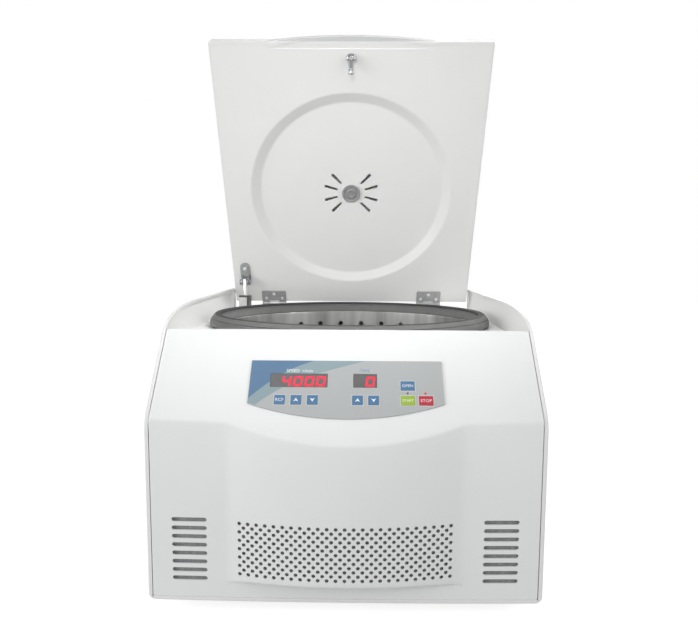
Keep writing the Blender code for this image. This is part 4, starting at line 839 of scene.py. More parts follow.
def eased_node(
    node: str, name: str, finish: Finish, slot: str, radius: float, segments: int = 2
) -> bpy.types.Object:
    """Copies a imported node, merges its triangles and eases its edges.

    Args:
        node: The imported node.
        name: The new piece's name.
        finish: Its material.
        slot: The record's material slot.
        radius: Edge rounding.
        segments: Facets in the rounding.

    Returns:
        The piece that stands for the node.
    """
    bm = node_mesh(node)
    crisp = [
        e for e in bm.edges if len(e.link_faces) == 2 and e.calc_face_angle(0) > math.radians(38)
    ]
    if radius:
        round_edges(bm, crisp, radius, segments)
    return make_piece(bm, name, finish, frame["nodes"][node]["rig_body"], slot, [node])


@dataclass
class PanScrew:
    """A pan-head screw with a cross recess, drawn as its head alone."""

    radius: float = 0.0024
    height: float = 0.0013
    recess: float = 0.0016
    slot_width: float = 0.0007
    steps: int = 16
    finish: Finish = ZINC_SCREW

    def shape(self, place: Matrix) -> Shape:
        """Builds one head that stands on the plane z = 0 of its place."""
        head = turned_mesh(
            rounded(
                [(0, self.height), (self.radius, self.height), (self.radius, 0), (0, 0)],
                {1: self.height * 0.8},
                3,
            ),
            self.steps,
        )
        half, reach = self.slot_width / 2, self.recess
        deep, high = self.height * 0.35, self.height * 2
        head = carved(head, box_mesh((-reach, -half, deep), (reach, half, high)))
        head = carved(head, box_mesh((-half, -reach, deep), (half, reach, high)))
        return moved(head, place)

    def row(
        self, name: str, places: Iterable[Matrix], body: str, slot: str = "bright_steel"
    ) -> bpy.types.Object:
        """Builds several heads as one piece."""
        return make_piece(
            joined(self.shape(place) for place in places), name, self.finish, body, slot
        )


@dataclass
class CaseBody:
    """The painted sheet-steel body: two sides with cheeks and a rear wall."""

    width: float = 0.390
    front_y: float = -0.23175
    depth: float = 0.480
    bottom: float = 0.0138
    break_height: float = 0.1967
    fascia_run: float = 0.0712
    fascia_rise: float = 0.0796
    cheek_top: float = 0.2975
    rise_run: float = 0.029
    curve_run: float = 0.139
    curve_steps: int = 28
    wall: float = 0.0017
    rear_wall: float = 0.0015
    band: float = 0.0042
    band_depth: float = 0.0045
    band_height: float = 0.003
    edge_radius: float = 0.0014
    corner_radius: float = 0.0080
    deck_height: float = 0.262
    mains_height: float = 0.062
    inlet_hole: Point = (0.135, 0.0136, 0.0101)
    switch_hole: Point = (0.092, 0.0095, 0.0131)
    vents: int = 9
    vent_left: float = -0.09
    vent_lowest: float = 0.072
    vent_pitch: float = 0.010
    vent_height: float = 0.004

    @property
    def rear_y(self) -> float:
        """Where the rear wall's outer face is."""
        return self.front_y + self.depth

    def outline(self, back: float, shift_y: float, shift_z: float, bottom: float) -> list[Point]:
        """Draws the body from the side, in (Y, Z).

        Args:
            back: The rear end.
            shift_y: How far the front is set back.
            shift_z: How far the top is lowered.
            bottom: The lower edge.

        Returns:
            The outline's points.
        """
        front = self.front_y + shift_y
        foot = Vector((front + self.fascia_run, self.break_height + self.fascia_rise + shift_z))
        corner = Vector((foot.x + self.rise_run, self.cheek_top + shift_z))
        end = Vector((foot.x + self.curve_run, self.cheek_top + shift_z))
        points: list[Point] = [(front, bottom), (front, self.break_height + shift_z)]
        points += bend(foot, corner, end, self.curve_steps)
        return points + [(back, self.cheek_top + shift_z), (back, bottom)]

    def slab(self, outline: Sequence[Point], half: float) -> Shape:
        """Extrudes a side outline across the width."""
        upright = Matrix(((0, 0, 1, 0), (1, 0, 0, 0), (0, 1, 0, 0), (0, 0, 0, 1)))
        shape = moved(plate_mesh(outline, -half, half), upright)
        return faced(shape)

    def build(self) -> None:
        """Builds the body, then its rear fittings' holes."""
        half = self.width / 2
        shell = self.slab(
            rounded(self.outline(self.rear_y, 0, 0, self.bottom), {1: 0.012}, 8), half
        )
        sides = [e for e in shell.edges if abs(e.verts[0].co.x - e.verts[1].co.x) < 1e-7]
        low = [e for e in sides if max(v.co.z for v in e.verts) < self.bottom + 1e-6]
        round_edges(shell, set(sides) - set(low), self.edge_radius, 3)
        for side in (-1, 1):
            shell = carved(shell, self.lower_corner(side))
        over = 0.02
        opening = half - self.band
        inner_back = self.rear_y - self.rear_wall
        cutters = [
            box_mesh(
                (-opening, self.front_y - over, self.bottom - over),
                (opening, inner_back, self.cheek_top + over),
            ),
            self.slab(
                self.outline(inner_back, self.band_depth, -self.band_height, self.bottom - over),
                half - self.wall,
            ),
            box_mesh(
                (-opening, inner_back - over, self.deck_height),
                (opening, self.rear_y + over, self.cheek_top + over),
            ),
        ]
        for cutter in cutters:
            shell = carved(shell, cutter)
        shell = carved(shell, joined(self.rear_holes()))
        make_piece(shell, "case_body", POWDER_COAT, CASE, "painted_white", ["outer_casing"])

    def lower_corner(self, side: int) -> Shape:
        """Shapes what is cut away to round one lower corner, seen from the front."""
        half, radius, over = self.width / 2, self.corner_radius, 0.01
        points = [(half + over, self.bottom - over), (half - radius, self.bottom - over)]
        for angle in arc(270, 360, 8):
            x = half - radius + radius * math.cos(angle)
            points.append((x, self.bottom + radius + radius * math.sin(angle)))
        points.append((half + over, self.bottom + radius))
        outline = [(side * x, z) for x, z in points]
        return stood(outline, self.front_y - over, self.rear_y + over)

    def rear_holes(self) -> list[Shape]:
        """Shapes the cut-outs of the inlet, the switch and the rear louvres."""
        near, far, middle = self.rear_y - 0.01, self.rear_y + 0.01, self.mains_height
        holes = [
            box_mesh((x - half_w, near, middle - half_h), (x + half_w, far, middle + half_h))
            for x, half_w, half_h in (self.inlet_hole, self.switch_hole)
        ]
        for row in range(self.vents):
            height = self.vent_lowest + row * self.vent_pitch
            holes.append(slot_cutter(self.vent_left, 0.0, height, self.vent_height, near, far))
        return holes


def slot_cutter(
    left: float, right: float, middle: float, height: float, near: float, far: float
) -> Shape:
    """Shapes a round-ended slot that runs along X and is cut through along Y.

    Args:
        left: Its left end.
        right: Its right end.
        middle: Height of its middle.
        height: Its height.
        near: Where the cut starts.
        far: Where the cut ends.

    Returns:
        The cutter.
    """
    radius = height / 2
    outline = []
    for centre, start in ((right - radius, -90), (left + radius, 90)):
        for angle in arc(start, start + 180, 6):
            outline.append((centre + radius * math.cos(angle), middle + radius * math.sin(angle)))
    return stood(outline, near, far)


@dataclass
class FrontMoulding:
    """The bowed front, its swelling with the grille, and the sloping fascia in one moulding."""

    half_width: float = 0.1902
    face_y: float = -0.23175
    bottom: float = 0.0181
    lower_corner: float = 0.0022
    bow: float = 0.003
    bulge_half: float = 0.1135
    bulge_proud: float = 0.018
    bulge_bottom: float = 0.0335
    bulge_round: float = 0.0042
    side_softness: float = 0.0016
    break_height: float = 0.1967
    fascia_run: float = 0.0712
    fascia_rise: float = 0.0796
    crease: float = 0.0024
    back_y: float = -0.15805
    deck: float = 0.2608
    wall: float = 0.0018
    edge_round: float = 0.0009
    hole_radius: float = 0.00196
    hole_pitch: float = 0.00856
    hole_row: float = 0.00855
    hole_lowest: float = 0.0438
    hole_columns: int = 25
    hole_rows: int = 7
    slot_inner: float = 0.1352
    slot_length: float = 0.0348
    slot_height: float = 0.0043
    slot_pitch: float = 0.00854
    slot_lowest: float = 0.0373
    slots: int = 8
    relief_half: float = 0.0098
    relief_inset: float = 0.0017
    relief_low: float = 0.242
    column_step: float = 0.0036
    side_step: float = 0.0011
    top_softness: float = 0.002
    shade_sheet_outer: float = 0.177
    shade_sheet_inner: float = 0.130
    shade_sheet_half: float = 0.1095
    shade_sheet_gap: float = 0.0011
    shade_sheet_thickness: float = 0.003
    shade_sheet_low: float = 0.0325
    shade_sheet_high: float = 0.104

    @property
    def slope(self) -> float:
        """Rise over run of the fascia."""
        return self.fascia_rise / self.fascia_run

    def base_y(self, x: float) -> float:
        """The gently bowed front at x."""
        return self.face_y - self.bow * (1 - (x / self.half_width) ** 2)

    def bulge_y(self, x: float) -> float:
        """The swelling's arc at x, softly blended into the front at its sides."""
        edge = self.base_y(self.bulge_half)
        proud = edge - (self.face_y - self.bulge_proud)
        radius = bow_radius(self.bulge_half, proud)
        arc = edge - proud + radius - math.sqrt(radius**2 - x**2)
        base = self.base_y(x)
        mix = max(self.side_softness - abs(base - arc), 0) / self.side_softness
        return min(base, arc) - mix * mix * self.side_softness / 4

    def ease(self, x: float) -> float:
        """How far the moulding's side edges are rounded back."""
        over = abs(x) - (self.half_width - self.edge_round)
        if over <= 0:
            return 0.0
        share = min(1.0, over / self.edge_round)
        return self.edge_round * (1 - math.sqrt(1 - share * share))

    def lower_edge(self, x: float) -> float:
        """Height of the moulding's lower edge at x, with both lower corners rounded."""
        over = max(0.0, abs(x) - (self.half_width - self.lower_corner))
        rise = self.lower_corner - math.sqrt(max(0.0, self.lower_corner**2 - over**2))
        return self.bottom + rise

    def section(self, x: float) -> list[Point]:
        """Draws the moulding's outer line at x, from its lower edge up and over to the deck.

        Args:
            x: Place across the front.

        Returns:
            Points (Y, Z), the same number at every x.
        """
        base, bulge = self.base_y(x), self.bulge_y(x)
        crest = self.break_height + (bulge - self.face_y) * self.slope
        low = self.lower_edge(x)
        points = [(base, z) for z in (low, low + 0.001, 0.026, 0.030)]
        for step in range(9):
            share = math.sin(math.pi / 2 * step / 8)
            height = self.bulge_bottom + self.bulge_round * (1 - math.cos(math.pi / 2 * step / 8))
            points.append((base + (bulge - base) * share, height))
        start = self.bulge_bottom + self.bulge_round
        rows = 44
        for step in range(1, rows + 1):
            points.append((bulge, start + (crest - self.crease - start) * step / rows))
        unit = Vector((self.fascia_run, self.fascia_rise)).normalized()
        corner = Vector((bulge, crest))
        low, high = corner - Vector((0, self.crease)), corner + unit * self.crease
        points += bend(low, corner, high, 6, first=1)
        top = Vector((self.face_y + self.fascia_run, self.break_height + self.fascia_rise))
        last = top - unit * self.top_softness
        for step in range(1, 31):
            points.append(tuple(high.lerp(last, step / 30)))
        flat = Vector(((top.x + self.back_y) / 2, top.y))
        points += bend(last, top, flat, 5, first=1)
        rim, down = Vector((self.back_y, top.y)), Vector((self.back_y, top.y - 0.0012))
        points += bend(flat, rim, down, 3, first=1)
        points += [(self.back_y, z) for z in (0.272, 0.267, self.deck)]
        return points

    def columns(self) -> list[float]:
        """Places across the front, closer at the swelling's sides and at the outer edges."""
        places = {0.0}
        for step in range(1, 53):
            places.add(step * self.column_step)
        for share in (-3, -2, -1, 0, 1, 2, 3):
            places.add(self.bulge_half + share * self.side_step)
        for share in (0, 0.4, 0.7, 0.9, 1):
            places.add(self.half_width - self.edge_round * (1 - share))
        for share in (0.25, 0.45, 0.6):
            places.add(self.half_width - self.lower_corner * (1 - share))
        right = sorted(p for p in places if p <= self.half_width + 1e-9)
        return [-p for p in reversed(right) if p > 0] + right

    def skin(self) -> Shape:
        """Lofts the sections into one skin and gives it its wall."""
        columns = self.columns()
        rows = len(self.section(0.0))
        bm = bmesh.new()
        bmesh.ops.create_grid(bm, x_segments=len(columns) - 1, y_segments=rows - 1, size=0.5)
        step_x, step_y = 1 / (len(columns) - 1), 1 / (rows - 1)
        sections = [self.section(x) for x in columns]
        for vert in bm.verts:
            column = round((vert.co.x + 0.5) / step_x)
            row = round((vert.co.y + 0.5) / step_y)
            x = columns[column]
            y, z = sections[column][row]
            vert.co = (x, y + self.ease(x), z)
        sides = [
            e
            for e in bm.edges
            if e.is_boundary and all(abs(v.co.x) > self.half_width - 1e-6 for v in e.verts)
        ]
        folded = bmesh.ops.extrude_edge_only(bm, edges=sides)
        moving = [item for item in folded["geom"] if isinstance(item, bmesh.types.BMVert)]
        inside = [v for v in moving if v.co.y < self.back_y - 0.006]
        bmesh.ops.translate(bm, vec=(0, 0.005, 0), verts=inside)
        bmesh.ops.remove_doubles(bm, verts=bm.verts, dist=1e-6)
        bmesh.ops.recalc_face_normals(bm, faces=bm.faces)
        front = min(bm.faces, key=lambda f: f.calc_center_median().y)
        if front.normal.y > 0:
            bmesh.ops.reverse_faces(bm, faces=bm.faces)
        bmesh.ops.solidify(bm, geom=list(bm.faces), thickness=self.wall)
        return bm

    def grille(self) -> Shape:
        """Shapes the staggered round holes: long columns with short ones between them."""
        holes = []
        reach = 0.03
        for half_column in range(2 * self.hole_columns - 1):
            short = half_column % 2
            x = (half_column / 2 - (self.hole_columns - 1) / 2) * self.hole_pitch
            for row in range(self.hole_rows - short):
                z = self.hole_lowest + (row + short / 2) * self.hole_row
                hole = bmesh.new()
                bmesh.ops.create_cone(
                    hole,
                    cap_ends=True,
                    segments=14,
                    radius1=self.hole_radius,
                    radius2=self.hole_radius,
                    depth=reach,
                )
                turn = Matrix.Rotation(math.pi / 2, 4, "X")
                place = at(x, self.face_y - self.bulge_proud / 2, z)
                holes.append(moved(hole, place @ turn))
        return joined(holes)

    def vents(self) -> Shape:
        """Shapes the round-ended slots at both sides."""
        near, far = self.face_y - 0.01, self.face_y + 0.01
        slots = []
        for row in range(self.slots):
            middle = self.slot_lowest + row * self.slot_pitch
            inner, outer = self.slot_inner, self.slot_inner + self.slot_length
            slots.append(slot_cutter(inner, outer, middle, self.slot_height, near, far))
            slots.append(slot_cutter(-outer, -inner, middle, self.slot_height, near, far))
        return joined(slots)

    def build(self) -> None:
        """Builds the moulding and the grey sheets of painted shade behind its openings."""
        shell = self.skin()
        shell = carved(shell, self.grille())
        shell = carved(shell, self.vents())
        half, near = self.relief_half, self.back_y - self.relief_inset
        high = (half, self.back_y + 0.02, 0.30)
        shell = carved(shell, box_mesh((-half, near, self.relief_low), high))
        make_piece(
            shell,
            "front_moulding",
            MOULDED_ABS,
            CASE,
            "moulded_white",
            ["front_shell"],
            sharp_degrees=40,
            even_shading=False,
        )
        # Grey sheets behind the holes and slots: painted shade for the dark inside.
        above = self.bulge_bottom + self.bulge_round
        for name, left, right, low, line in (
            ("left", -self.shade_sheet_outer, -self.shade_sheet_inner, self.shade_sheet_low, self.base_y),
            ("middle", -self.shade_sheet_half, self.shade_sheet_half, above, self.bulge_y),
            ("right", self.shade_sheet_inner, self.shade_sheet_outer, self.shade_sheet_low, self.base_y),
        ):
            sheet = self.shade_sheet(left, right, low, line)
            make_piece(sheet, f"grille_shade_sheet_{name}", GRILLE_SHADE_SHEET, CASE, "black_plastic")

    def shade_sheet(
        self, left: float, right: float, low: float, line: Callable[[float], float]
    ) -> Shape:
        """Shapes one sheet of painted shade that lies close behind the wall.

        Args:
            left: Its left end.
            right: Its right end.
            low: Its lower edge.
            line: Gives the wall's outer line at a place across the front.

        Returns:
            The sheet.
        """
        near, far = [], []
        for step in range(25):
            x = left + (right - left) * step / 24
            y = line(x) + self.wall + self.shade_sheet_gap
            near.append((x, y))
            far.append((x, y + self.shade_sheet_thickness))
        return plate_mesh(near + far[::-1], low, self.shade_sheet_high)


@dataclass
class Undercarriage:
    """The base tray with its bowed front rim, its feet and the screws that hold it."""

    front: FrontMoulding
    case: CaseBody
    rim_top: float = 0.0178
    rim_depth: float = 0.0040
    rim_steps: int = 48
    foot_radius: float = 0.014
    foot_height: float = 0.0135
    foot_taper: float = 0.002
    foot_recess: float = 0.0025
    tray_low: float = 0.0138
    screw_columns: Point = (-0.17, 0, 0.17)
    screw_rows: Point = (-0.21, 0.23)

    def build(self) -> None:
        """Builds the tray, four feet and the tray's screws."""
        tray, rim = node_mesh("base_tray"), self.rim()
        for side in (-1, 1):
            tray = carved(tray, self.case.lower_corner(side))
            rim = carved(rim, self.case.lower_corner(side))
        make_piece(tray, "bottom_tray", POWDER_COAT, CASE, "painted_white", ["base_tray"])
        make_piece(rim, "tray_front_rim", POWDER_COAT, CASE, "painted_white")
        for node in ("foot_front_left", "foot_front_right", "foot_rear_left", "foot_rear_right"):
            low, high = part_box(node)
            middle = (low + high) / 2
            radius, height = self.foot_radius, self.foot_height
            profile = rounded(
                [
                    (0, height),
                    (radius, height),
                    (radius - self.foot_taper, 0),
                    (radius * 0.5, 0),
                    (radius * 0.42, self.foot_recess),
                    (0, self.foot_recess),
                ],
                {1: 0.0012, 2: 0.0018},
                4,
            )
            foot = moved(turned_mesh(profile, 48), at(middle.x, middle.y, 0))
            make_piece(foot, f"{node}_moulded", FOOT_RUBBER, CASE, "rubber", [node])
        places = [
            at(x, y, self.tray_low) @ UPSIDE_DOWN
            for x in self.screw_columns
            for y in self.screw_rows
        ]
        PanScrew().row("tray_screws", places, CASE)

    def rim(self) -> Shape:
        """Shapes the rim under the front, bowed like it, with rounded ends and edges."""
        half = self.front.half_width + 0.0002
        near, far = [], []
        for step in range(self.rim_steps + 1):
            x = half * (2 * step / self.rim_steps - 1)
            y = self.front.base_y(min(abs(x), self.front.half_width))
            near.append((x, y))
            far.append((x, y + self.rim_depth))
        return plate_mesh(near + far[::-1], self.tray_low, self.rim_top, 0.0009, 3)


@dataclass
class Chamber:
    """The deck, the spun bowl with its ring of holes, and the rubber seal ring."""

    centre_y: float = 0.04185
    bowl_radius: float = 0.166
    sheet: float = 0.001
    floor: float = 0.1095
    rim: float = 0.2633
    flange: float = 0.0115
    corner: float = 0.014
    shaft_hole: float = 0.013
    holes: int = 32
    hole_radius: float = 0.0035
    hole_height: float = 0.2447
    screw_columns: Point = (-0.182, 0.182)
    screw_rows: Point = (-0.14, 0.05, 0.235)
    ring_outer: float = 0.1845
    ring_width: float = 0.0145
    shoulder: float = 0.0062
    ring_bottom: float = 0.2636
    ring_top: float = 0.2777
    deck_height: float = 0.262

    def build(self) -> None:
        """Builds the deck, the bowl, the ring and the deck's screws."""
        eased_node("top_deck", "deck_sheet", POWDER_COAT, "painted_white", 0.0)
        centre = at(0, self.centre_y, 0)
        bowl = moved(self.bowl(), centre)
        # The bowl's upright colour streaks are painted reflections.
        make_piece(bowl, "spun_bowl", SPUN_STAINLESS, CASE, "stainless", ["chamber_bowl"])
        make_piece(moved(self.ring(), centre), "lid_seal", EPDM, CASE, "rubber", ["seal_ring"], 50)
        # A thin darker skin over the seal's crown and inner edge: painted shade.
        make_piece(moved(self.lip(), centre), "seal_crown_painted_shade", EPDM_PAINTED_SHADE, CASE, "rubber", (), 50)
        places = [
            at(x, y, self.deck_height)
            for x in self.screw_columns
            for y in self.screw_rows
        ]
        PanScrew().row("deck_screws", places, CASE)

    def bowl(self) -> Shape:
        """Spins the bowl and cuts its ring of holes."""
        inner, outer = self.bowl_radius, self.bowl_radius + self.sheet
        under = self.floor - self.sheet
        profile = [
            (inner, self.rim),
            (outer + self.flange, self.rim),
            (outer + self.flange, self.rim - self.sheet),
            (outer, self.rim - self.sheet),
            (outer, under),
            (self.shaft_hole, under),
            (self.shaft_hole, self.floor),
            (inner, self.floor),
        ]
        corner = self.corner
        profile = rounded(profile, {0: 0.0009, 4: corner, 7: corner - self.sheet}, 8)
        bowl = turned_mesh(profile, 160, ring=True)
        punches = []
        for index in range(self.holes):
            punch = bar_mesh(self.hole_radius, self.bowl_radius - 0.01, outer + 0.01, 20)
            turn = Matrix.Rotation(2 * math.pi * (index + 0.5) / self.holes, 4, "Z")
            punches.append(moved(punch, turn @ along_x(z=self.hole_height)))
        return carved(bowl, joined(punches))

    def lip(self) -> Shape:
        """Spins a thin skin of darker rubber on the seal's crown and inner upper edge: painted shade.
        """
        inner = self.ring_outer - self.ring_width - 0.0003
        outer = self.ring_outer - self.shoulder - 0.0006
        top, depth, skin = self.ring_top + 0.0001, 0.0030, 0.0012
        profile = [
            (inner, top - depth),
            (inner, top),
            (outer, top),
            (outer, top - skin / 2),
            (inner + depth, top - skin),
            (inner + skin, top - depth),
        ]
        return turned_mesh(rounded(profile, {1: 0.0020, 2: 0.0003}, 5), 160, ring=True)

    def ring(self) -> Shape:
        """Spins the seal: a crown, a sloping shoulder with a groove and a lip inside."""
        outer, inner = self.ring_outer, self.ring_outer - self.ring_width
        top, low = self.ring_top, self.ring_bottom
        profile = [
            (inner, top),
            (outer - self.shoulder, top),
            (outer - 0.0026, top - 0.0046),
            (outer - 0.0032, top - 0.0054),
            (outer - 0.0014, top - 0.0060),
            (outer, top - 0.0088),
            (outer, low),
            (inner, low),
            (inner, top - 0.0062),
            (inner + 0.0007, top - 0.0056),
            (inner, top - 0.0050),
        ]
        return turned_mesh(
            rounded(profile, {0: 0.0020, 1: 0.0022, 5: 0.002, 6: 0.001, 7: 0.001}, 6),
            160,
            ring=True,
        )


@dataclass
class Drive:
    """The motor, its mounts and the swing-out rotor with its buckets."""

    centre_y: float = 0.04185
    nut_low: float = 0.2123
    nut_radius: float = 0.011
    nut_height: float = 0.012
    nut_ribs: int = 24
    rib_half: float = 0.0005
    rib_depth: float = 0.0016

    def build(self) -> None:
        """Dresses the drive's pieces and adds its small hardware."""
        steel, bright, silver = TURNED_STEEL, "bright_steel", "aluminium"
        dressed = [
            ("motor_housing", "motor_can", ANODISED, silver, 0.0006),
            ("motor_mount_plate", "mount_plate", ZINC_PLATE, "galvanised", 0.0005),
        ]
        for index in (1, 2, 3):
            dressed.append(
                (f"motor_damper_{index}", f"damper_{index}", FOOT_RUBBER, "rubber", 0.0006)
            )
        dressed += [
            ("upper_bearing", "upper_bearing_race", steel, bright, 0.0003),
            ("lower_bearing", "lower_bearing_race", steel, bright, 0.0003),
            ("motor_shaft", "spindle", steel, bright, 0.0004),
            ("rotor_head", "rotor_arms", ANODISED, silver, 0.0012),
        ]
        for index in (1, 2, 3, 4):
            dressed.append((f"bucket_{index}", f"swing_bucket_{index}", ANODISED, silver, 0.0004))
        for node, name, finish, slot, radius in dressed:
            eased_node(node, name, finish, slot, radius)
        self.nut()

    def nut(self) -> None:
        """Builds the knurled cap nut that holds the rotor."""
        top = self.nut_low + self.nut_height
        radius = self.nut_radius
        profile = rounded(
            [(0, top), (radius - 0.0012, top), (radius - 0.0006, self.nut_low), (0, self.nut_low)],
            {1: 0.0025},
            4,
        )
        shapes = [turned_mesh(profile, 48)]
        for index in range(self.nut_ribs):
            low = (radius - self.rib_depth, -self.rib_half, self.nut_low + 0.001)
            rib = box_mesh(low, (radius, self.rib_half, top - 0.003), 0.0002)
            turn = Matrix.Rotation(2 * math.pi * index / self.nut_ribs, 4, "Z")
            shapes.append(moved(rib, turn))
        nut = moved(joined(shapes), at(0, self.centre_y, 0))
        make_piece(nut, "cap_nut", TURNED_STEEL, ROTOR, "bright_steel", ["rotor_nut"])


@dataclass
class Lid:
    """The lid in its own frame: the hinge axis is its X axis, and it lies shut before it turns."""

    hinge_y: float = 0.22365
    hinge_z: float = 0.2746
    open_degrees: float = 62.07
    half_width: float = 0.1853
    front: float = -0.3965
    rear: float = -0.0022
    inner: float = 0.0035
    thickness: float = 0.0194
    wall: float = 0.0015
    front_wall: float = 0.004
    edge_radius: float = 0.0026
    grip_half: float = 0.1095
    grip_proud: float = 0.0065
    grip_lift: float = 0.0015
    grip_height: float = 0.010
    recess_half: float = 0.110
    recess_inset: float = 0.0092
    recess_reach: float = 0.0080
    recess_depth: float = 0.0010
    bead_radius: float = 0.0010
    bead_height: float = 0.0008
    recess_slope: float = 0.0004
    sheet: float = 0.0012
    dish_from_rear: float = 0.1839
    dish_radius: float = 0.1460
    dish_run: float = 0.0135
    dish_depth: float = 0.0060
    dish_softness: float = 0.0022
    slot_start: float = 0.0206
    slot_end: float = 0.0402
    slot_narrow: float = 0.0016
    slot_wide: float = 0.0024
    slot_angles: Point = (16, 46, 134, 164, 196, 226, 314, 344)
    plug_radius: float = 0.0133
    steps: int = 160

    @property
    def place(self) -> Matrix:
        """Carries the lid's own frame to where it stands open."""
        turn = Matrix.Rotation(-math.radians(self.open_degrees), 4, "X")
        return at(0, self.hinge_y, self.hinge_z) @ turn

    @property
    def dish_y(self) -> float:
        """The middle of the dish."""
        return self.rear - self.dish_from_rear

    def build(self) -> None:
        """Builds the cover, its grip, the pressed liner, the recess's bead and the vent plug."""
        edge = at(0, self.front + self.recess_inset, self.inner + self.bead_height)
        reach = self.recess_half - 0.001
        bead = moved(bar_mesh(self.bead_radius, -reach, reach, 16), edge @ along_x())
        make_piece(
            moved(bead, self.place), "recess_bead", MOULDED_ABS, LID, "painted_white", (), 60
        )
        paint, grey = "painted_white", "grey_plastic"
        for shape, name, finish, slot, nodes, sharp in (
            (self.cover(), "lid_shell", POWDER_COAT, paint, ["lid_cover"], 32),
            # The grip's greyer colour is painted shade.
            (self.grip(), "lid_grip", GRIP_ABS_PAINTED_SHADE, "white_plastic", [], 32),
            (self.liner(), "lid_panel", POWDER_COAT, paint, ["lid_liner"], 45),
            (self.plug(), "vent_plug", GREY_ACETAL, grey, ["lid_vent_plug"], 32),
        ):
            make_piece(moved(shape, self.place), name, finish, LID, slot, nodes, sharp)

    def cover(self) -> Shape:
        """Shapes the folded cover with the recess behind its front edge."""
        top = self.inner + self.thickness
        box = box_mesh(
            (-self.half_width, self.front, self.inner), (self.half_width, self.rear, top)
        )
        outer = [
            e
            for e in box.edges
            if not all(abs(v.co.z - self.inner) < 1e-7 for v in e.verts)
        ]
        round_edges(box, outer, self.edge_radius, 4)
        box = carved(
            box,
            box_mesh(
                (-self.half_width + self.wall, self.front + self.front_wall, self.inner - 0.01),
                (self.half_width - self.wall, self.rear - self.wall, top - self.wall),
            ),
        )
        return carved(box, self.recess())

    def grip(self) -> Shape:
        """Shapes the crescent grip along the lid's front edge."""
        radius = bow_radius(self.grip_half, self.grip_proud)
        half_angle = math.asin(self.grip_half / radius)
        outline = []
        for step in range(61):
            angle = half_angle * (2 * step / 60 - 1)
            drop = radius * (1 - math.cos(angle))
            outline.append((radius * math.sin(angle), self.front - self.grip_proud + drop))
        outline += [(self.grip_half, self.front + 0.002), (-self.grip_half, self.front + 0.002)]
        low = self.inner + self.grip_lift
        return plate_mesh(outline, low, low + self.grip_height, 0.0003, 1)

    def recess(self) -> Shape:
        """Shapes the shallow finger recess behind the grip, its straight side sloping."""
        start = self.front + self.recess_inset
        proud = self.recess_inset + self.recess_reach
        low, high = self.inner - 0.004, self.inner + self.recess_depth
        bm = bmesh.new()
        rings = []
        for height, grown in ((low, 0.004), (self.inner, 0.0), (high, 0.0)):
            shift = self.recess_slope if height == high else 0.0
            ring = []
            for step in range(41):
                x = self.recess_half * (2 * step / 40 - 1)
                swell = 1 - (x / self.recess_half) ** 2
                ring.append(bm.verts.new((x, start - proud * swell - grown * swell, height)))
            for step in range(39, 0, -1):
                x = self.recess_half * (2 * step / 40 - 1)
                swell = 1 - (x / self.recess_half) ** 2
                line = start - shift * min(1.0, swell * 6)
                ring.append(bm.verts.new((x, line, height)))
            rings.append(ring)
        for lower, upper in zip(rings, rings[1:]):
            count = len(lower)
            for i in range(count):
                j = (i + 1) % count
                bm.faces.new((lower[i], lower[j], upper[j], upper[i]))
        bm.faces.new(list(reversed(rings[0])))
        bm.faces.new(rings[-1])
        return faced(bm)

    def liner(self) -> Shape:
        """Shapes the pressed liner: a flat sheet, a soft round step down and eight slots."""
        radius, run, depth = self.dish_radius, self.dish_run, self.dish_depth
        floor = self.inner + depth
        line = [
            (radius + 0.012, self.inner),
            (radius, self.inner),
            (radius - run, floor),
            (radius - run - 0.02, floor),
        ]
        soft = rounded(line, {1: self.dish_softness, 2: self.dish_softness}, 5)
        radii = [(r, z) for r, z in soft] + [(0.10, floor), (0.06, floor), (0.006, floor)]
        bm = bmesh.new()
        verts = [bm.verts.new((r, 0, z)) for r, z in radii]
        edges = [bm.edges.new(pair) for pair in zip(verts, verts[1:])]
        spin_round(bm, verts + edges, self.steps)
        bmesh.ops.translate(bm, vec=(0, self.dish_y, 0), verts=bm.verts)
        rim = [
            e
            for e in bm.edges
            if e.is_boundary and (e.verts[0].co - Vector((0, self.dish_y, 0))).length > radius
        ]
        bm = self.square_off(bm, rim)
        bmesh.ops.recalc_face_normals(bm, faces=bm.faces)
        flat = max(bm.faces, key=lambda f: f.calc_area())
        if flat.normal.z > 0:
            bmesh.ops.reverse_faces(bm, faces=bm.faces)
        bmesh.ops.solidify(bm, geom=list(bm.faces), thickness=self.sheet)
        sheet = carved(bm, joined(self.slots(floor)))
        return carved(sheet, self.recess())

    def square_off(
        self, bm: Shape, rim: list[bmesh.types.BMEdge]
    ) -> Shape:
        """Extrudes the round rim of the dish outwards to the liner's straight edges.

        Args:
            bm: The dish.
            rim: Its outer boundary.

        Returns:
            The whole sheet.
        """
        right = self.half_width - self.wall - GAP / 2
        left = -right
        low = self.front + self.front_wall + GAP / 2
        high = self.rear - self.wall - GAP / 2
        grown = bmesh.ops.extrude_edge_only(bm, edges=rim)
        outer = [item for item in grown["geom"] if isinstance(item, bmesh.types.BMVert)]
        corners = [Vector((x, y, 0)) for x in (left, right) for y in (low, high)]
        centre = Vector((0, self.dish_y, 0))
        for vert in outer:
            ray = vert.co - centre
            reach = min(
                (right if ray.x > 0 else left) / ray.x if abs(ray.x) > 1e-9 else 1e9,
                ((high if ray.y > 0 else low) - centre.y) / ray.y if abs(ray.y) > 1e-9 else 1e9,
            )
            vert.co = (ray.x * reach, centre.y + ray.y * reach, vert.co.z)
        for corner in corners:
            nearest = min(outer, key=lambda v: (v.co.xy - corner.xy).length)
            nearest.co = (corner.x, corner.y, nearest.co.z)
        return bm

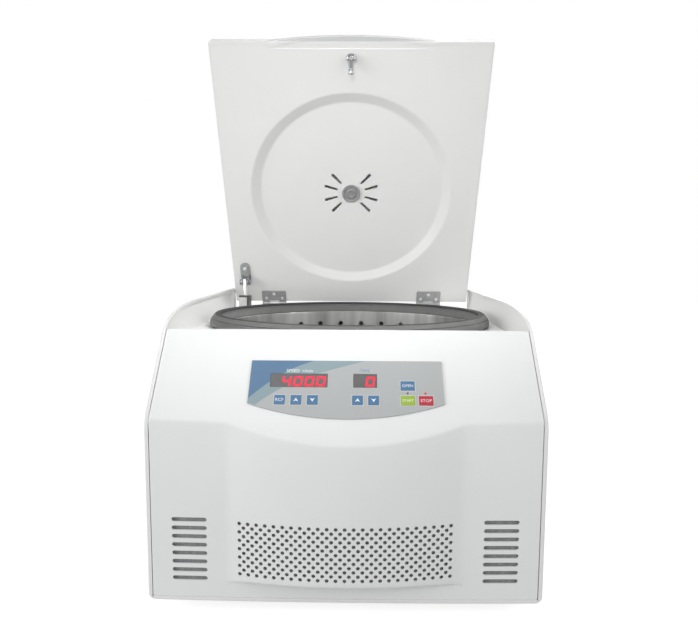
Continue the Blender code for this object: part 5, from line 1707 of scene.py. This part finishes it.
    def slots(self, floor: float) -> list[Shape]:
        """Shapes the eight slots that fan out from the plug, wider at their outer ends."""
        start, end = self.slot_start, self.slot_end
        narrow, wide = self.slot_narrow, self.slot_wide
        corners = [(start, -narrow), (end, -wide), (end, wide), (start, narrow)]
        outline = rounded(corners, {0: 0.0012, 1: 0.0018, 2: 0.0018, 3: 0.0012}, 3)
        cutters = []
        for degrees in self.slot_angles:
            shape = plate_mesh(outline, floor - 0.01, floor + 0.01)
            turn = Matrix.Rotation(math.radians(degrees), 4, "Z")
            cutters.append(moved(shape, at(0, self.dish_y, 0) @ turn))
        return cutters

    def plug(self) -> Shape:
        """Spins the vent plug: a rim, a ring and a raised middle."""
        face = self.inner + self.dish_depth - GAP / 2
        radius = self.plug_radius
        profile = [
            (0, face + 0.002),
            (0.005, face + 0.002),
            (0.005, face),
            (radius, face),
            (radius, face - 0.0025),
            (radius - 0.0022, face - 0.0025),
            (radius - 0.0030, face - 0.0012),
            (0.0072, face - 0.0012),
            (0.0064, face - 0.0026),
            (0.0044, face - 0.0026),
            (0.0038, face - 0.0014),
            (0, face - 0.0014),
        ]
        shape = turned_mesh(rounded(profile, {4: 0.0009, 5: 0.0006, 8: 0.0005, 9: 0.0005}, 3), 48)
        return moved(shape, at(0, self.dish_y, 0))


@dataclass
class LidHinges:
    """The two hinges: leaves on the lid with knuckles, posts on the deck, pins and screws."""

    lid: Lid
    x: float = 0.124
    leaf_half: float = 0.0191
    leaf_length: float = 0.0195
    leaf_sheet: float = 0.002
    knuckle: float = 0.003
    notch: float = 0.0073
    notch_depth: float = 0.0034
    corner: float = 0.0024
    pin_radius: float = 0.0014
    leaf_screws: Sequence[Point] = ((0.0, -0.0165), (-0.0125, -0.0085), (0.0125, -0.0085))
    post_foot: float = 0.26395
    post_spread: float = 0.0075

    def build(self) -> None:
        """Builds both hinges and their screws."""
        for side, name in ((-1, "left"), (1, "right")):
            leaf, node = moved(self.leaf(side * self.x), self.lid.place), [f"hinge_leaf_{name}"]
            make_piece(leaf, f"hinge_plate_{name}", ZINC_PLATE, LID, "galvanised", node)
            eased_node(
                f"hinge_post_{name}", f"hinge_stand_{name}", TURNED_STEEL, "bright_steel", 0.0003
            )
            low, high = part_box(f"hinge_pin_{name}")
            middle = (low + high) / 2
            pin = bar_mesh(self.pin_radius, low.x - middle.x, high.x - middle.x, 24, 0.0004)
            pin, node = moved(pin, along_x(*middle)), [f"hinge_pin_{name}"]
            make_piece(pin, f"hinge_rod_{name}", TURNED_STEEL, CASE, "bright_steel", node)
        self.screws()

    def leaf(self, x: float) -> Shape:
        """Shapes one leaf with its two knuckles."""
        top = self.lid.inner - GAP
        low = top - self.leaf_sheet
        half, end = self.leaf_half, self.lid.rear - self.leaf_length
        outline = rounded(
            [
                (x - half, end),
                (x + half, end),
                (x + half, 0.0),
                (x + self.notch, 0.0),
                (x + self.notch, -self.notch_depth),
                (x - self.notch, -self.notch_depth),
                (x - self.notch, 0.0),
                (x - half, 0.0),
            ],
            {0: self.corner, 1: self.corner},
            5,
        )
        shapes = [plate_mesh(outline, low, top, 0.0004)]
        for start, stop in ((-half, -self.notch), (self.notch, half)):
            shapes.append(moved(bar_mesh(self.knuckle, start, stop, 32, 0.0003), along_x(x)))
        return joined(shapes)

    def screws(self) -> None:
        """Sets three screws in each leaf and two in each post's foot."""
        face = self.lid.inner - GAP - self.leaf_sheet
        for side, name in ((-1, "left"), (1, "right")):
            places = [
                self.lid.place @ at(side * self.x + u, v, face) @ UPSIDE_DOWN
                for u, v in self.leaf_screws
            ]
            PanScrew(radius=0.0026, height=0.0014).row(f"hinge_screws_{name}", places, LID)
            low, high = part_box(f"hinge_post_{name}")
            feet = [
                at(side * self.x, (low.y + high.y) / 2 + off, self.post_foot)
                for off in (-self.post_spread, self.post_spread)
            ]
            PanScrew(radius=0.0022, height=0.0012).row(f"post_screws_{name}", feet, CASE)


@dataclass
class Striker:
    """The clevis on the lid's free edge, its pin, the hanging striker and the lock under it."""

    lid: Lid
    y: float = -0.15405
    pivot_drop: float = 0.0055
    radius: float = 0.0034
    clevis_half: float = 0.0068
    clevis_depth: float = 0.005
    clevis_drop: float = 0.009
    pin_radius: float = 0.0014
    pin_over: float = 0.0006
    shank_end: float = 0.0146
    neck_radius: float = 0.0020
    neck_end: float = 0.0180
    tip: float = 0.0200
    tip_chamfer: float = 0.0004
    thread_start: float = 0.0026
    thread_turns: int = 8
    thread_pitch: float = 0.00145
    thread_depth: float = 0.0006

    def build(self) -> None:
        """Builds the lid's side of the latch, then dresses the lock."""
        lid_y = self.y - self.lid.hinge_y
        reach = self.clevis_half + self.pin_over
        pin = bar_mesh(self.pin_radius, -reach, reach, 24, 0.0004)
        pivot = at(0, lid_y, self.lid.inner - self.pivot_drop)
        cross = self.lid.place @ pivot
        hang = Matrix.Translation(cross.translation)
        steel, zinc = "bright_steel", "galvanised"
        fork = moved(self.clevis(lid_y), self.lid.place)
        make_piece(fork, "striker_fork", BLACKENED_STEEL, LID, steel, ["striker_clevis"])
        pin = moved(pin, cross @ along_x())
        make_piece(pin, "striker_pin", TURNED_STEEL, LID, steel, ["striker_cross_pin"])
        bolt = moved(self.bolt(), hang)
        make_piece(bolt, "hanging_striker", BLACKENED_STEEL, "striker", zinc, ["lid_striker"])
        eased_node("lock_housing", "lock_case", BLACK_NYLON, "black_plastic", 0.0006)
        eased_node("lock_bolt", "lock_tongue", TURNED_STEEL, "bright_steel", 0.0003)

    def clevis(self, y: float) -> Shape:
        """Shapes the fork: a round boss with a slot for the striker."""
        top = self.lid.inner - GAP
        low = self.lid.inner - self.clevis_drop
        half, deep = self.clevis_half, self.clevis_depth
        profile = rounded([(0, low), (half, low), (half, top), (0, top)], {1: 0.0056}, 8)
        place = at(0, y, 0) @ Matrix.Diagonal((1, deep / half, 1, 1))
        fork = moved(turned_mesh(profile, 48), place)
        bmesh.ops.recalc_face_normals(fork, faces=fork.faces)
        slot = self.radius + GAP
        return carved(
            fork,
            box_mesh((-slot, y - deep - 0.01, low - 0.01), (slot, y + deep + 0.01, top - 0.0012)),
        )

    def bolt(self) -> Shape:
        """Spins the striker: a round head, a threaded shank and a neck near its tip."""
        radius, root, pitch = self.radius, self.radius - self.thread_depth, self.thread_pitch
        neck, tip = self.neck_radius, self.tip
        profile = [
            (0, radius),
            (radius * 0.5, radius * 0.87),
            (radius * 0.87, radius * 0.5),
            (radius, 0),
            (radius, -0.0024),
        ]
        for turn in range(self.thread_turns):
            height = -self.thread_start - turn * pitch
            profile += [(root, height), (radius, height - pitch / 2)]
        profile += [
            (radius, -self.shank_end),
            (neck, -self.shank_end),
            (neck, -self.neck_end),
            (radius, -self.neck_end),
            (radius, self.tip_chamfer - tip),
            (radius - self.tip_chamfer, -tip),
            (0, -tip),
        ]
        return turned_mesh(profile, 32)


@dataclass
class LidStay:
    """The stay at the left: bracket and pin on the lid, rod with its block, and the cylinder."""

    lid: Lid
    x: float = -0.1665
    pin_from_rear: float = 0.042
    pin_drop: float = 0.012
    screw_from_rear: float = 0.0595
    foot: Point = (-0.1665, 0.18325, 0.110)
    plate_half: float = 0.0078
    plate_sheet: float = 0.0017
    plate_start: float = 0.0348
    plate_end: float = 0.0705
    block_width: float = 0.0156
    block_depth: float = 0.026
    block_height: float = 0.035
    block_drop: float = 0.0208
    eye_half: float = 0.0023
    eye_reach: float = 0.0049
    rod_radius: float = 0.003
    rod_start: float = 0.0062
    rod_end: float = 0.1351
    bore_radius: float = 0.0033
    plate: float = 0.0032
    ear_radius: float = 0.0052
    ear_sheet: float = 0.0017
    right_ear: float = 0.0034
    left_ear: float = -0.0051

    @property
    def pin_place(self) -> Matrix:
        """The pin's place in the lid's own frame."""
        return Matrix.Translation(
            (self.x, self.lid.rear - self.pin_from_rear, self.lid.inner - self.pin_drop)
        )

    @property
    def rod_place(self) -> Matrix:
        """The rod's frame: its origin on the pin and its Z axis away from the foot."""
        pin = (self.lid.place @ self.pin_place).translation
        line = pin - Vector(self.foot)
        return Matrix.Translation(pin) @ Matrix.Rotation(math.atan2(-line.y, line.z), 4, "X")

    def build(self) -> None:
        """Builds the bracket, the pin, the rod, the block and the cylinder."""
        lid_place = self.lid.place
        pin_place, steel = lid_place @ self.pin_place, "bright_steel"
        for shape, place, name, finish, body, slot, node in (
            (self.bracket(), lid_place, "stay_tongue", ZINC_PLATE, LID, "galvanised", "stay_bracket"),
            (self.pin(), pin_place, "stay_rivet", BLACKENED_STEEL, LID, steel, "stay_pin"),
            (self.rod(), self.rod_place, "stay_piston_rod", CHROMED_ROD, ROD, steel, "stay_rod"),
        ):
            make_piece(moved(shape, place), name, finish, body, slot, [node])
        self.block()
        eased_node("stay_cylinder", "stay_tube", ZINC_PLATE, "galvanised", 0.0005)
        eased_node("stay_stud", "stay_axle", TURNED_STEEL, "bright_steel", 0.0004)
        face = self.lid.inner - GAP - self.plate_sheet
        screw = at(self.x, self.lid.rear - self.screw_from_rear, face)
        PanScrew(radius=0.0030, height=0.0018).row("stay_screw", [lid_place @ screw @ UPSIDE_DOWN], LID)

    def bracket(self) -> Shape:
        """Shapes the tongue on the lid and its two round ears."""
        top = self.lid.inner - GAP
        half = self.plate_half
        near, far = self.lid.rear - self.plate_start, self.lid.rear - self.plate_end
        outline = [(self.x - half, near), (self.x - half, far + half)]
        for step in range(1, 16):
            angle = math.pi + math.pi * step / 16
            outline.append((self.x + half * math.cos(angle), far + half + half * math.sin(angle)))
        outline += [(self.x + half, far + half), (self.x + half, near)]
        shapes = [plate_mesh(outline, top - self.plate_sheet, top, 0.0004)]
        radius = self.ear_radius
        y, z = self.pin_place.translation.y, self.pin_place.translation.z
        for side in (-1, 1):
            root = top - 0.0008 - z
            ear = [(radius, root)]
            for angle in arc(360, 180, 14):
                ear.append((radius * math.cos(angle), radius * math.sin(angle)))
            ear.append((-radius, root))
            low = self.right_ear if side > 0 else self.left_ear
            shape = plate_mesh(ear, low, low + self.ear_sheet, 0.0003)
            stand = Matrix(((0, 0, 1, self.x), (1, 0, 0, y), (0, 1, 0, z), (0, 0, 0, 1)))
            shape = moved(shape, stand)
            bmesh.ops.recalc_face_normals(shape, faces=shape.faces)
            shapes.append(shape)
        return joined(shapes)

    def pin(self) -> Shape:
        """Spins the pin with a domed head at each end."""
        head, middle, half, shaft = 0.0045, 0.0072, 0.0021, 0.0022
        ball = [(head * math.sin(a), middle + half * math.cos(a)) for a in arc(0, 150, 12)]
        profile = [*ball, (shaft, middle - half), (shaft, half - middle)]
        profile += [(r, -h) for r, h in reversed(ball)]
        return moved(turned_mesh(profile, 40), along_x())

    def rod(self) -> Shape:
        """Shapes the rod and the flat end that takes the pin."""
        rod = bar_mesh(self.rod_radius, -self.rod_end, -self.rod_start, 32, 0.0004)
        half, reach = self.eye_half, self.eye_reach
        flat = box_mesh((-half, -reach, -self.rod_start), (half, reach, reach), 0.0005)
        return joined([rod, flat])

    def block(self) -> None:
        """Builds the guide block: a pale body, with darker plates on its top and right side as painted
        shade.
        """
        half_w, half_d = self.block_width / 2, self.block_depth / 2
        top, low = -self.block_drop, -self.block_drop - self.block_height
        plate = self.plate
        bore = bar_mesh(self.bore_radius, low - 0.01, top + 0.01, 32)
        body = carved(
            box_mesh((-half_w, -half_d, low), (half_w - plate, half_d, top - plate), 0.0005), bore
        )
        white = "white_plastic"
        make_piece(moved(body, self.rod_place), "guide_block", NYLON, ROD, white, ["stay_block"])
        bore = bar_mesh(self.bore_radius, low - 0.01, top + 0.01, 32)
        # The darker cap and side cheek are painted shade.
        cap = carved(box_mesh((-half_w, -half_d, top - plate), (half_w, half_d, top), 0.0006), bore)
        cheek = box_mesh((half_w - plate, -half_d, low), (half_w, half_d, top - plate), 0.0004)
        plates = moved(joined([cap, cheek]), self.rod_place)
        make_piece(plates, "guide_block_painted_shade", NYLON_PAINTED_SHADE, ROD, white)


class Printed(Enum):
    """The zones printed on the panel film."""

    BLUE = "blue"
    PALE = "pale"


@dataclass
class ControlPanel:
    """The printed film on the fascia with its windows, displays, keys, captions and lamps."""

    face_y: float = -0.23175
    break_height: float = 0.1967
    slope: float = math.atan2(0.0796, 0.0712)
    sheet: float = 0.0012
    half: float = 0.0963
    top: float = 0.0675
    shoulder: float = 0.018
    lowest: float = 0.0014
    ink: float = 0.00004
    speed_window: Point = (-0.0755, 0.0570)
    time_window: Point = (0.0071, 0.0236)
    window_low: float = 0.0361
    window_height: float = 0.0158
    window_play: float = 0.0001
    window_sheet: float = 0.0009
    digit_pitch: float = 0.0114
    key_size: float = 0.0104
    wide_key: float = 0.0138
    key_play: float = 0.00015
    key_rise: float = 0.0005
    key_rim: float = 0.0009
    row: float = 0.0218
    upper_row: float = 0.0384
    lamp_row: float = 0.0300
    lamp_radius: float = 0.0011

    @property
    def place(self) -> Matrix:
        """Carries the panel's frame, X across and Y up the slope, to the fascia."""
        move = at(0, self.face_y, self.break_height)
        return move @ Matrix.Rotation(self.slope, 4, "X")

    @property
    def film_top(self) -> float:
        """The film's outer face above the fascia."""
        return GAP + self.sheet

    def keys(self) -> dict[str, tuple[float, float, float]]:
        """Each key's middle and half width."""
        small, wide = self.key_size / 2, self.wide_key / 2
        return {
            "speed_mode_key": (-0.0650, self.row, small),
            "speed_up_key": (-0.0489, self.row, small),
            "speed_down_key": (-0.0328, self.row, small),
            "time_up_key": (0.0114, self.row, small),
            "time_down_key": (0.0271, self.row, small),
            "open_key": (0.0608, self.upper_row, wide),
            "start_key": (0.0607, self.row, wide),
            "stop_key": (0.0783, self.row, wide),
        }

    def outline(self) -> list[Point]:
        """The film's outline: straight top and sides, and an arc below."""
        radius = bow_radius(self.half, self.shoulder - self.lowest)
        reach = math.degrees(math.asin(self.half / radius))
        points = [(self.half, self.top), (-self.half, self.top)]
        for angle in arc(-reach, reach, 48):
            points.append((radius * math.sin(angle), self.lowest + radius * (1 - math.cos(angle))))
        return rounded(points, {0: 0.0012, 1: 0.0012}, 3)

    def lower_edge(self, x: float) -> float:
        """Height of the film's lower arc at x."""
        radius = bow_radius(self.half, self.shoulder - self.lowest)
        return self.lowest + radius - math.sqrt(radius**2 - x**2)

    def openings(self) -> Shape:
        """Shapes the cut-outs of the windows and the keys, with their play all round."""
        under, over = -0.005, 0.02
        cutters = []
        play = self.window_play
        low, high = self.window_low - play, self.window_low + self.window_height + play
        for left, width in (self.speed_window, self.time_window):
            cutters.append(box_mesh((left - play, low, under), (left + width + play, high, over)))
        size = self.key_size / 2 + self.key_play
        for x, y, half in self.keys().values():
            reach = half + self.key_play
            cutters.append(box_mesh((x - reach, y - size, under), (x + reach, y + size, over)))
        return joined(cutters)

    def build(self) -> None:
        """Builds the film, its print, the displays, the keys, the captions and the lamps."""
        film = plate_mesh(self.outline(), GAP, self.film_top, 0.0002, 1)
        film = carved(film, self.openings())
        film = moved(film, self.place)
        make_piece(film, "panel_film", GREY_FILM, CASE, "panel_film", ["control_overlay"])
        for zone, finish in ((Printed.BLUE, BLUE_FILM), (Printed.PALE, PALE_FILM)):
            shape = plate_mesh(self.zone(zone), self.film_top, self.film_top + self.ink)
            shape = carved(shape, self.openings())
            make_piece(moved(shape, self.place), f"print_{zone.value}", finish, CASE, "panel_film")
        self.windows()
        self.build_keys()
        self.captions()
        self.lamps()
        eased_node("control_board", "display_board", SOLDER_MASK, "circuit_board", 0.0)

    def zone(self, zone: Printed) -> list[Point]:
        """Draws a printed zone inside the film's outline.

        Args:
            zone: Which zone.

        Returns:
            Its outline.
        """
        inset = 0.0005
        left, top = -self.half + inset, self.top - inset
        upper = curve_through([(left, 0.0231), (-0.0769, 0.0415), (-0.0322, top)], 24)
        if zone is Printed.BLUE:
            return [(left, top), *upper]
        low_x = -0.0885
        start = (low_x, self.lower_edge(low_x) + inset)
        lower = curve_through([start, (-0.0635, 0.0353), (-0.0383, 0.0482), (0.0177, top)], 36)
        rim = [
            (x, self.lower_edge(x) + inset)
            for x in (left, left + (low_x - left) / 2)
        ]
        return [*reversed(upper), *rim, *lower]

    def windows(self) -> None:
        """Builds the smoked windows and the lit digits on them."""
        windows = (("speed", self.speed_window, "4000"), ("time", self.time_window, "0"))
        for name, (left, width), text in windows:
            low = (left, self.window_low, GAP)
            top = GAP + self.window_sheet
            high = (left + width, self.window_low + self.window_height, top)
            glass = moved(box_mesh(low, high, 0.00015, 1), self.place)
            node = [f"{name}_window"]
            make_piece(glass, f"{name}_glass", SMOKED_ACRYLIC, CASE, "window_tint", node)
            shapes = []
            for index, digit in enumerate(reversed(text)):
                right = left + width - 0.0016 - index * self.digit_pitch
                shapes += self.digit(digit, right - 0.0098, self.window_low + 0.0010)
            digits = moved(joined(shapes), self.place)
            make_piece(digits, f"{name}_digits", LIT_SEGMENT, CASE, "red_key")

    def digit(self, digit: str, left: float, low: float) -> list[Shape]:
        """Shapes one leaning seven-segment digit."""
        width, height, stroke, lean = 0.0094, 0.0119, 0.0026, 0.12
        lit = {"0": "abcdef", "4": "bcfg"}[digit]
        half = height / 2
        bars = {
            "a": (0.0004, height - stroke, width - 0.0004, height),
            "d": (0.0004, 0, width - 0.0004, stroke),
            "g": (0.0004, half - stroke / 2, width - 0.0004, half + stroke / 2),
            "b": (width - stroke, half + 0.0002, width, height - 0.0004),
            "c": (width - stroke, 0.0004, width, half - 0.0002),
            "e": (0, 0.0004, stroke, half - 0.0002),
            "f": (0, half + 0.0002, stroke, height - 0.0004),
        }
        base = GAP + self.window_sheet
        shapes = []
        for name in lit:
            x0, y0, x1, y1 = bars[name]
            corners = [(x0, y0), (x1, y0), (x1, y1), (x0, y1)]
            outline = [
                (left - height * lean / 2 + x + y * lean, low + y)
                for x, y in rounded(corners, {i: 0.0007 for i in range(4)}, 2)
            ]
            shapes.append(plate_mesh(outline, base, base + 0.0001))
        return shapes

    def build_keys(self) -> None:
        """Builds the keys, their pale printed frames and their marks."""
        top = self.film_top + self.key_rise
        finishes = {"start_key": GREEN_KEY, "stop_key": RED_KEY}
        words = {
            "open_key": "OPEN", "start_key": "START", "stop_key": "STOP", "speed_mode_key": "RCF"
        }
        frames = []
        for name, (x, y, half) in self.keys().items():
            size = self.key_size / 2
            cap = box_mesh((x - half, y - size, top - 0.0011), (x + half, y + size, top), 0.0003, 2)
            slot = {"start_key": "green_key", "stop_key": "red_key"}.get(name, "blue_key")
            finish = finishes.get(name, BLUE_KEY)
            make_piece(moved(cap, self.place), f"{name}_cap", finish, name, slot, [name])
            wide, tall = half + self.key_rim, size + self.key_rim
            corners = [(x - wide, y - tall), (x + wide, y - tall), (x + wide, y + tall)]
            corners.append((x - wide, y + tall))
            printed = self.film_top + self.ink
            frames.append(plate_mesh(corners, printed, self.film_top + self.ink * 2))
            mark_top = top + self.ink
            if name in words:
                width = {"RCF": 0.0078}.get(words[name], 0.0108)
                mark = lettering(words[name], x, y, width, top, mark_top)
            else:
                mark = self.arrow(x, y, "up" in name, top, mark_top)
            make_piece(moved(mark, self.place), f"{name}_mark", WHITE_INK, name, slot)
        rims = carved(joined(frames), self.openings())
        make_piece(moved(rims, self.place), "key_frames", FRAME_INK, CASE, "panel_film")

    def arrow(self, x: float, y: float, up: bool, low: float, high: float) -> Shape:
        """Shapes the arrow head on a key, notched at its base."""
        sign = 1 if up else -1
        outline = [(-0.0024, -0.0019), (0.0, -0.0009), (0.0024, -0.0019), (0.0, 0.0021)]
        points = [(x + u, y + sign * v) for u, v in outline]
        return plate_mesh(points, low, high)

    def captions(self) -> None:
        """Prints the captions over the windows."""
        low, high = self.film_top + self.ink, self.film_top + self.ink * 2
        speed = lettering("SPEED  r/min", -0.0468, 0.0552, 0.0262, low, high)
        make_piece(moved(speed, self.place), "speed_caption", WHITE_INK, CASE, "panel_film")
        time = lettering("TIME", 0.0187, 0.0555, 0.0098, low, high)
        make_piece(moved(time, self.place), "time_caption", BLUE_INK, CASE, "panel_film")

    def lamps(self) -> None:
        """Sets the two lamps above the start and stop keys."""
        spots = (
            ("start_lamp", 0.0606, DARK_LAMP, "panel_film"),
            ("stop_lamp", 0.0780, LIT_LAMP, "red_key"),
        )
        low, high, radius = self.film_top, self.film_top + self.key_rise, self.lamp_radius
        for name, x, finish, slot in spots:
            dome = turned_mesh(
                rounded([(0, high), (radius, high), (radius, low), (0, low)], {1: 0.0005}, 4), 24
            )
            place = self.place @ at(x, self.lamp_row, 0)
            make_piece(moved(dome, place), name, finish, CASE, slot)


def curve_through(points: Sequence[Point], steps: int) -> list[Point]:
    """Draws a smooth curve through a few points by Lagrange's polynomial.

    Args:
        points: Points with rising x.
        steps: Number of stretches.

    Returns:
        The curve's points, ends included.
    """
    first, last = points[0][0], points[-1][0]
    curve = []
    for step in range(steps + 1):
        x = first + (last - first) * step / steps
        y = 0.0
        for i, (xi, yi) in enumerate(points):
            weight = yi
            for j, (xj, _) in enumerate(points):
                if i != j:
                    weight *= (x - xj) / (xi - xj)
            y += weight
        curve.append((x, y))
    return curve


def lettering(
    text: str, x: float, y: float, width: float, low: float, high: float
) -> Shape:
    """Makes flat letters of a given width round a point.

    Args:
        text: The words.
        x: Middle of the words across.
        y: Middle of the words up.
        width: How wide the words are.
        low: Their underside.
        high: Their top.

    Returns:
        The letters as a closed shape.
    """
    curve = bpy.data.curves.new("letters", "FONT")
    curve.body = text
    curve.extrude = 0.5
    curve.resolution_u = 3
    writing = bpy.data.objects.new("letters", curve)
    bpy.context.scene.collection.objects.link(writing)
    bm = bmesh.new()
    mesh = bpy.data.meshes.new_from_object(
        writing.evaluated_get(bpy.context.evaluated_depsgraph_get())
    )
    bm.from_mesh(mesh)
    bpy.data.objects.remove(writing)
    bpy.data.curves.remove(curve)
    bpy.data.meshes.remove(mesh)
    bmesh.ops.remove_doubles(bm, verts=bm.verts, dist=1e-6)
    spans = [[v.co[axis] for v in bm.verts] for axis in (0, 1)]
    scale = width / (max(spans[0]) - min(spans[0]))
    middle = [(max(span) + min(span)) / 2 for span in spans]
    bmesh.ops.translate(bm, vec=(-middle[0], -middle[1], 0), verts=bm.verts)
    bmesh.ops.scale(bm, vec=(scale, scale, high - low), verts=bm.verts)
    bmesh.ops.translate(bm, vec=(x, y, (low + high) / 2), verts=bm.verts)
    return bm


@dataclass
class MainsSide:
    """The inlet, the switch, the rear wall's screws and the power board with its capacitors."""

    rear_y: float = 0.24825
    board_sheet: float = 0.0016
    screw_columns: Point = (-0.175, 0.175)
    screw_heights: Point = (0.035, 0.14, 0.235)

    def build(self) -> None:
        """Dresses the inlet, the switch and the board, and adds screws and capacitors."""
        eased_node("power_inlet", "mains_inlet", BLACK_NYLON, "black_plastic", 0.0004)
        eased_node("power_switch_body", "switch_frame", BLACK_NYLON, "black_plastic", 0.0003)
        eased_node("power_rocker", "switch_rocker", RED_KEY, "red_key", 0.0008)
        eased_node("power_board", "supply_board", SOLDER_MASK, "circuit_board", 0.0003)
        back = at(0, self.rear_y, 0) @ Matrix.Rotation(-math.pi / 2, 4, "X")
        places = [
            at(x, 0, z) @ back
            for x in self.screw_columns
            for z in self.screw_heights
        ]
        PanScrew().row("rear_screws", places, CASE)
        board_low, board_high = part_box("power_board")
        parts = []
        cans = ((0.2, 0.2, 0.009, 0.024), (0.2, 0.45, 0.009, 0.024), (0.25, 0.75, 0.006, 0.016))
        for u, v, radius, tall in cans:
            x = board_low.x + (board_high.x - board_low.x) * u
            y = board_low.y + (board_high.y - board_low.y) * v
            low = board_low.z + self.board_sheet
            can = moved(bar_mesh(radius, low, low + tall, 32, 0.001), at(x, y, 0))
            parts.append(can)
        make_piece(joined(parts), "supply_capacitors", BLACK_NYLON, CASE, "black_plastic")


@dataclass
class Studio:
    """The pale floor, the soft lights, the white surroundings and the camera.

    The camera's pixel sizes are the photograph's, and its place and angles were fitted to the
    outline of the case and the lid.
    """

    camera_place: Point = (0.0113, -0.8636, 0.358)
    pitch: float = 6.54
    yaw: float = -0.764
    roll: float = 0.304
    focal_px: float = 673.7585
    width_px: int = 698
    height_px: int = 620
    horizon_px: float = 328.906
    surroundings: float = 0.43
    floor_lift: float = 0.78
    floor_half: float = 4.0
    floor_colour: str = "C4C4C4"
    sensor_mm: float = 36

    def build(self) -> None:
        """Builds the stage, the lights and the camera."""
        self.floor()
        self.world()
        self.lights()
        self.camera()
        bpy.context.scene.view_settings.view_transform = "Standard"

    def seen(self, tree: bpy.types.NodeTree, ray: str) -> bpy.types.Node:
        """Adds a node that is one for camera rays and for one more kind of ray."""
        path = add_node(tree, "ShaderNodeLightPath")
        return add_node(
            tree,
            "ShaderNodeMath",
            settings={"operation": "MAXIMUM"},
            links={0: path.outputs["Is Camera Ray"], 1: path.outputs[ray]},
        )

    def floor(self) -> None:
        """Lays a pale floor that keeps the object's shadow and shows white elsewhere."""
        bm = bmesh.new()
        bmesh.ops.create_grid(bm, x_segments=1, y_segments=1, size=self.floor_half)
        mesh = bpy.data.meshes.new("floor")
        bm.to_mesh(mesh)
        bm.free()
        floor = bpy.data.objects.new("floor", mesh)
        bpy.context.scene.collection.objects.link(floor)
        material = bpy.data.materials.new("pale_floor")
        material.use_nodes = True
        tree = material.node_tree
        shader = tree.nodes["Principled BSDF"]
        shader.inputs["Base Color"].default_value = to_linear(self.floor_colour)
        shader.inputs["Roughness"].default_value = 0.9
        shader.inputs["Specular IOR Level"].default_value = 0.1
        seen = self.seen(tree, "Is Glossy Ray")
        lift = add_node(
            tree,
            "ShaderNodeMath",
            settings={"operation": "MULTIPLY"},
            values={1: self.floor_lift},
            links={0: seen.outputs["Value"]},
        )
        shader.inputs["Emission Color"].default_value = (1, 1, 1, 1)
        tree.links.new(lift.outputs["Value"], shader.inputs["Emission Strength"])
        mesh.materials.append(material)

    def world(self) -> None:
        """Surrounds the object with even light, white to the camera and to rays through clear parts."""
        world = bpy.data.worlds.new("soft_surroundings")
        bpy.context.scene.world = world
        world.use_nodes = True
        tree = world.node_tree
        shader = tree.nodes["Background"]
        seen = self.seen(tree, "Is Transmission Ray")
        strength = add_node(
            tree,
            "ShaderNodeMapRange",
            values={"To Min": self.surroundings, "To Max": 1.0},
            links={"Value": seen.outputs["Value"]},
        )
        shader.inputs["Color"].default_value = (1, 1, 1, 1)
        tree.links.new(strength.outputs["Result"], shader.inputs["Strength"])

    def lights(self) -> None:
        """Hangs soft boxes all round, and three narrow ones for the lid, chamber and cheek."""
        boxes = (
            ("soft_box_back", (0.9, 2.3, 0.7), (0.0, 0.25, 0.25), 1.0, 9.0, 180),
            ("soft_box_above", (-0.45, -0.75, 1.45), (0.0, -0.1, 0.15), 0.7, 1.95, 180),
            ("soft_box_left", (-2.3, -1.2, 0.6), (0.0, -0.2, 0.2), 1.2, 30.0, 180),
            ("soft_box_right", (1.5, -1.1, 0.9), (0.0, 0.0, 0.25), 1.0, 8.6, 180),
            ("soft_box_lid", (-0.1, -1.1, 0.75), (0.0, 0.17, 0.42), 0.4, 0.25, 34),
            ("soft_box_chamber", (0.70, -0.20, 1.2), (-0.12, 0.06, 0.26), 0.4, 0.36, 20),
            ("soft_box_cheek", (-0.75, -0.20, 1.2), (0.17, 0.05, 0.28), 0.4, 0.08, 20),
        )
        for name, place, aim, size, power, spread in boxes:
            lamp = bpy.data.lights.new(name, "AREA")
            lamp.shape = "SQUARE"
            lamp.size = size
            lamp.energy = power
            lamp.spread = math.radians(spread)
            light = bpy.data.objects.new(name, lamp)
            bpy.context.scene.collection.objects.link(light)
            light.location = place
            line = Vector(aim) - Vector(place)
            light.rotation_euler = line.to_track_quat("-Z", "Y").to_euler()

    def camera(self) -> None:
        """Sets the camera where the photograph was taken from."""
        yaw, pitch, roll = (math.radians(a) for a in (self.yaw, self.pitch, self.roll))
        ahead = Vector(
            (math.sin(yaw) * math.cos(pitch), math.cos(yaw) * math.cos(pitch), -math.sin(pitch))
        )
        side = Vector((math.cos(yaw), -math.sin(yaw), 0))
        up = side.cross(ahead)
        right = side * math.cos(roll) + up * math.sin(roll)
        top = up * math.cos(roll) - side * math.sin(roll)
        lens = bpy.data.cameras.new("photo_camera")
        lens.sensor_width = self.sensor_mm
        lens.lens = self.sensor_mm * self.focal_px / self.width_px
        lens.shift_y = (self.horizon_px - self.height_px / 2) / self.width_px
        lens.clip_start = 0.05
        camera = bpy.data.objects.new("photo_camera", lens)
        bpy.context.scene.collection.objects.link(camera)
        columns = Matrix((right, top, -ahead)).transposed().to_4x4()
        camera.matrix_world = Matrix.Translation(self.camera_place) @ columns
        bpy.context.scene.camera = camera


def main() -> None:
    """Builds every sub-assembly in order, then the studio round them."""
    logging.basicConfig(level=logging.INFO, format="%(name)s: %(message)s")
    Studio().build()
    lid, front, case = Lid(), FrontMoulding(), CaseBody()
    builders: list[Callable[[], None]] = [
        case.build,
        front.build,
        Undercarriage(front, case).build,
        Chamber().build,
        Drive().build,
        lid.build,
        LidHinges(lid).build,
        Striker(lid).build,
        LidStay(lid).build,
        ControlPanel().build,
        MainsSide().build,
    ]
    for build in builders:
        build()


if __name__ == "__main__":
    main()
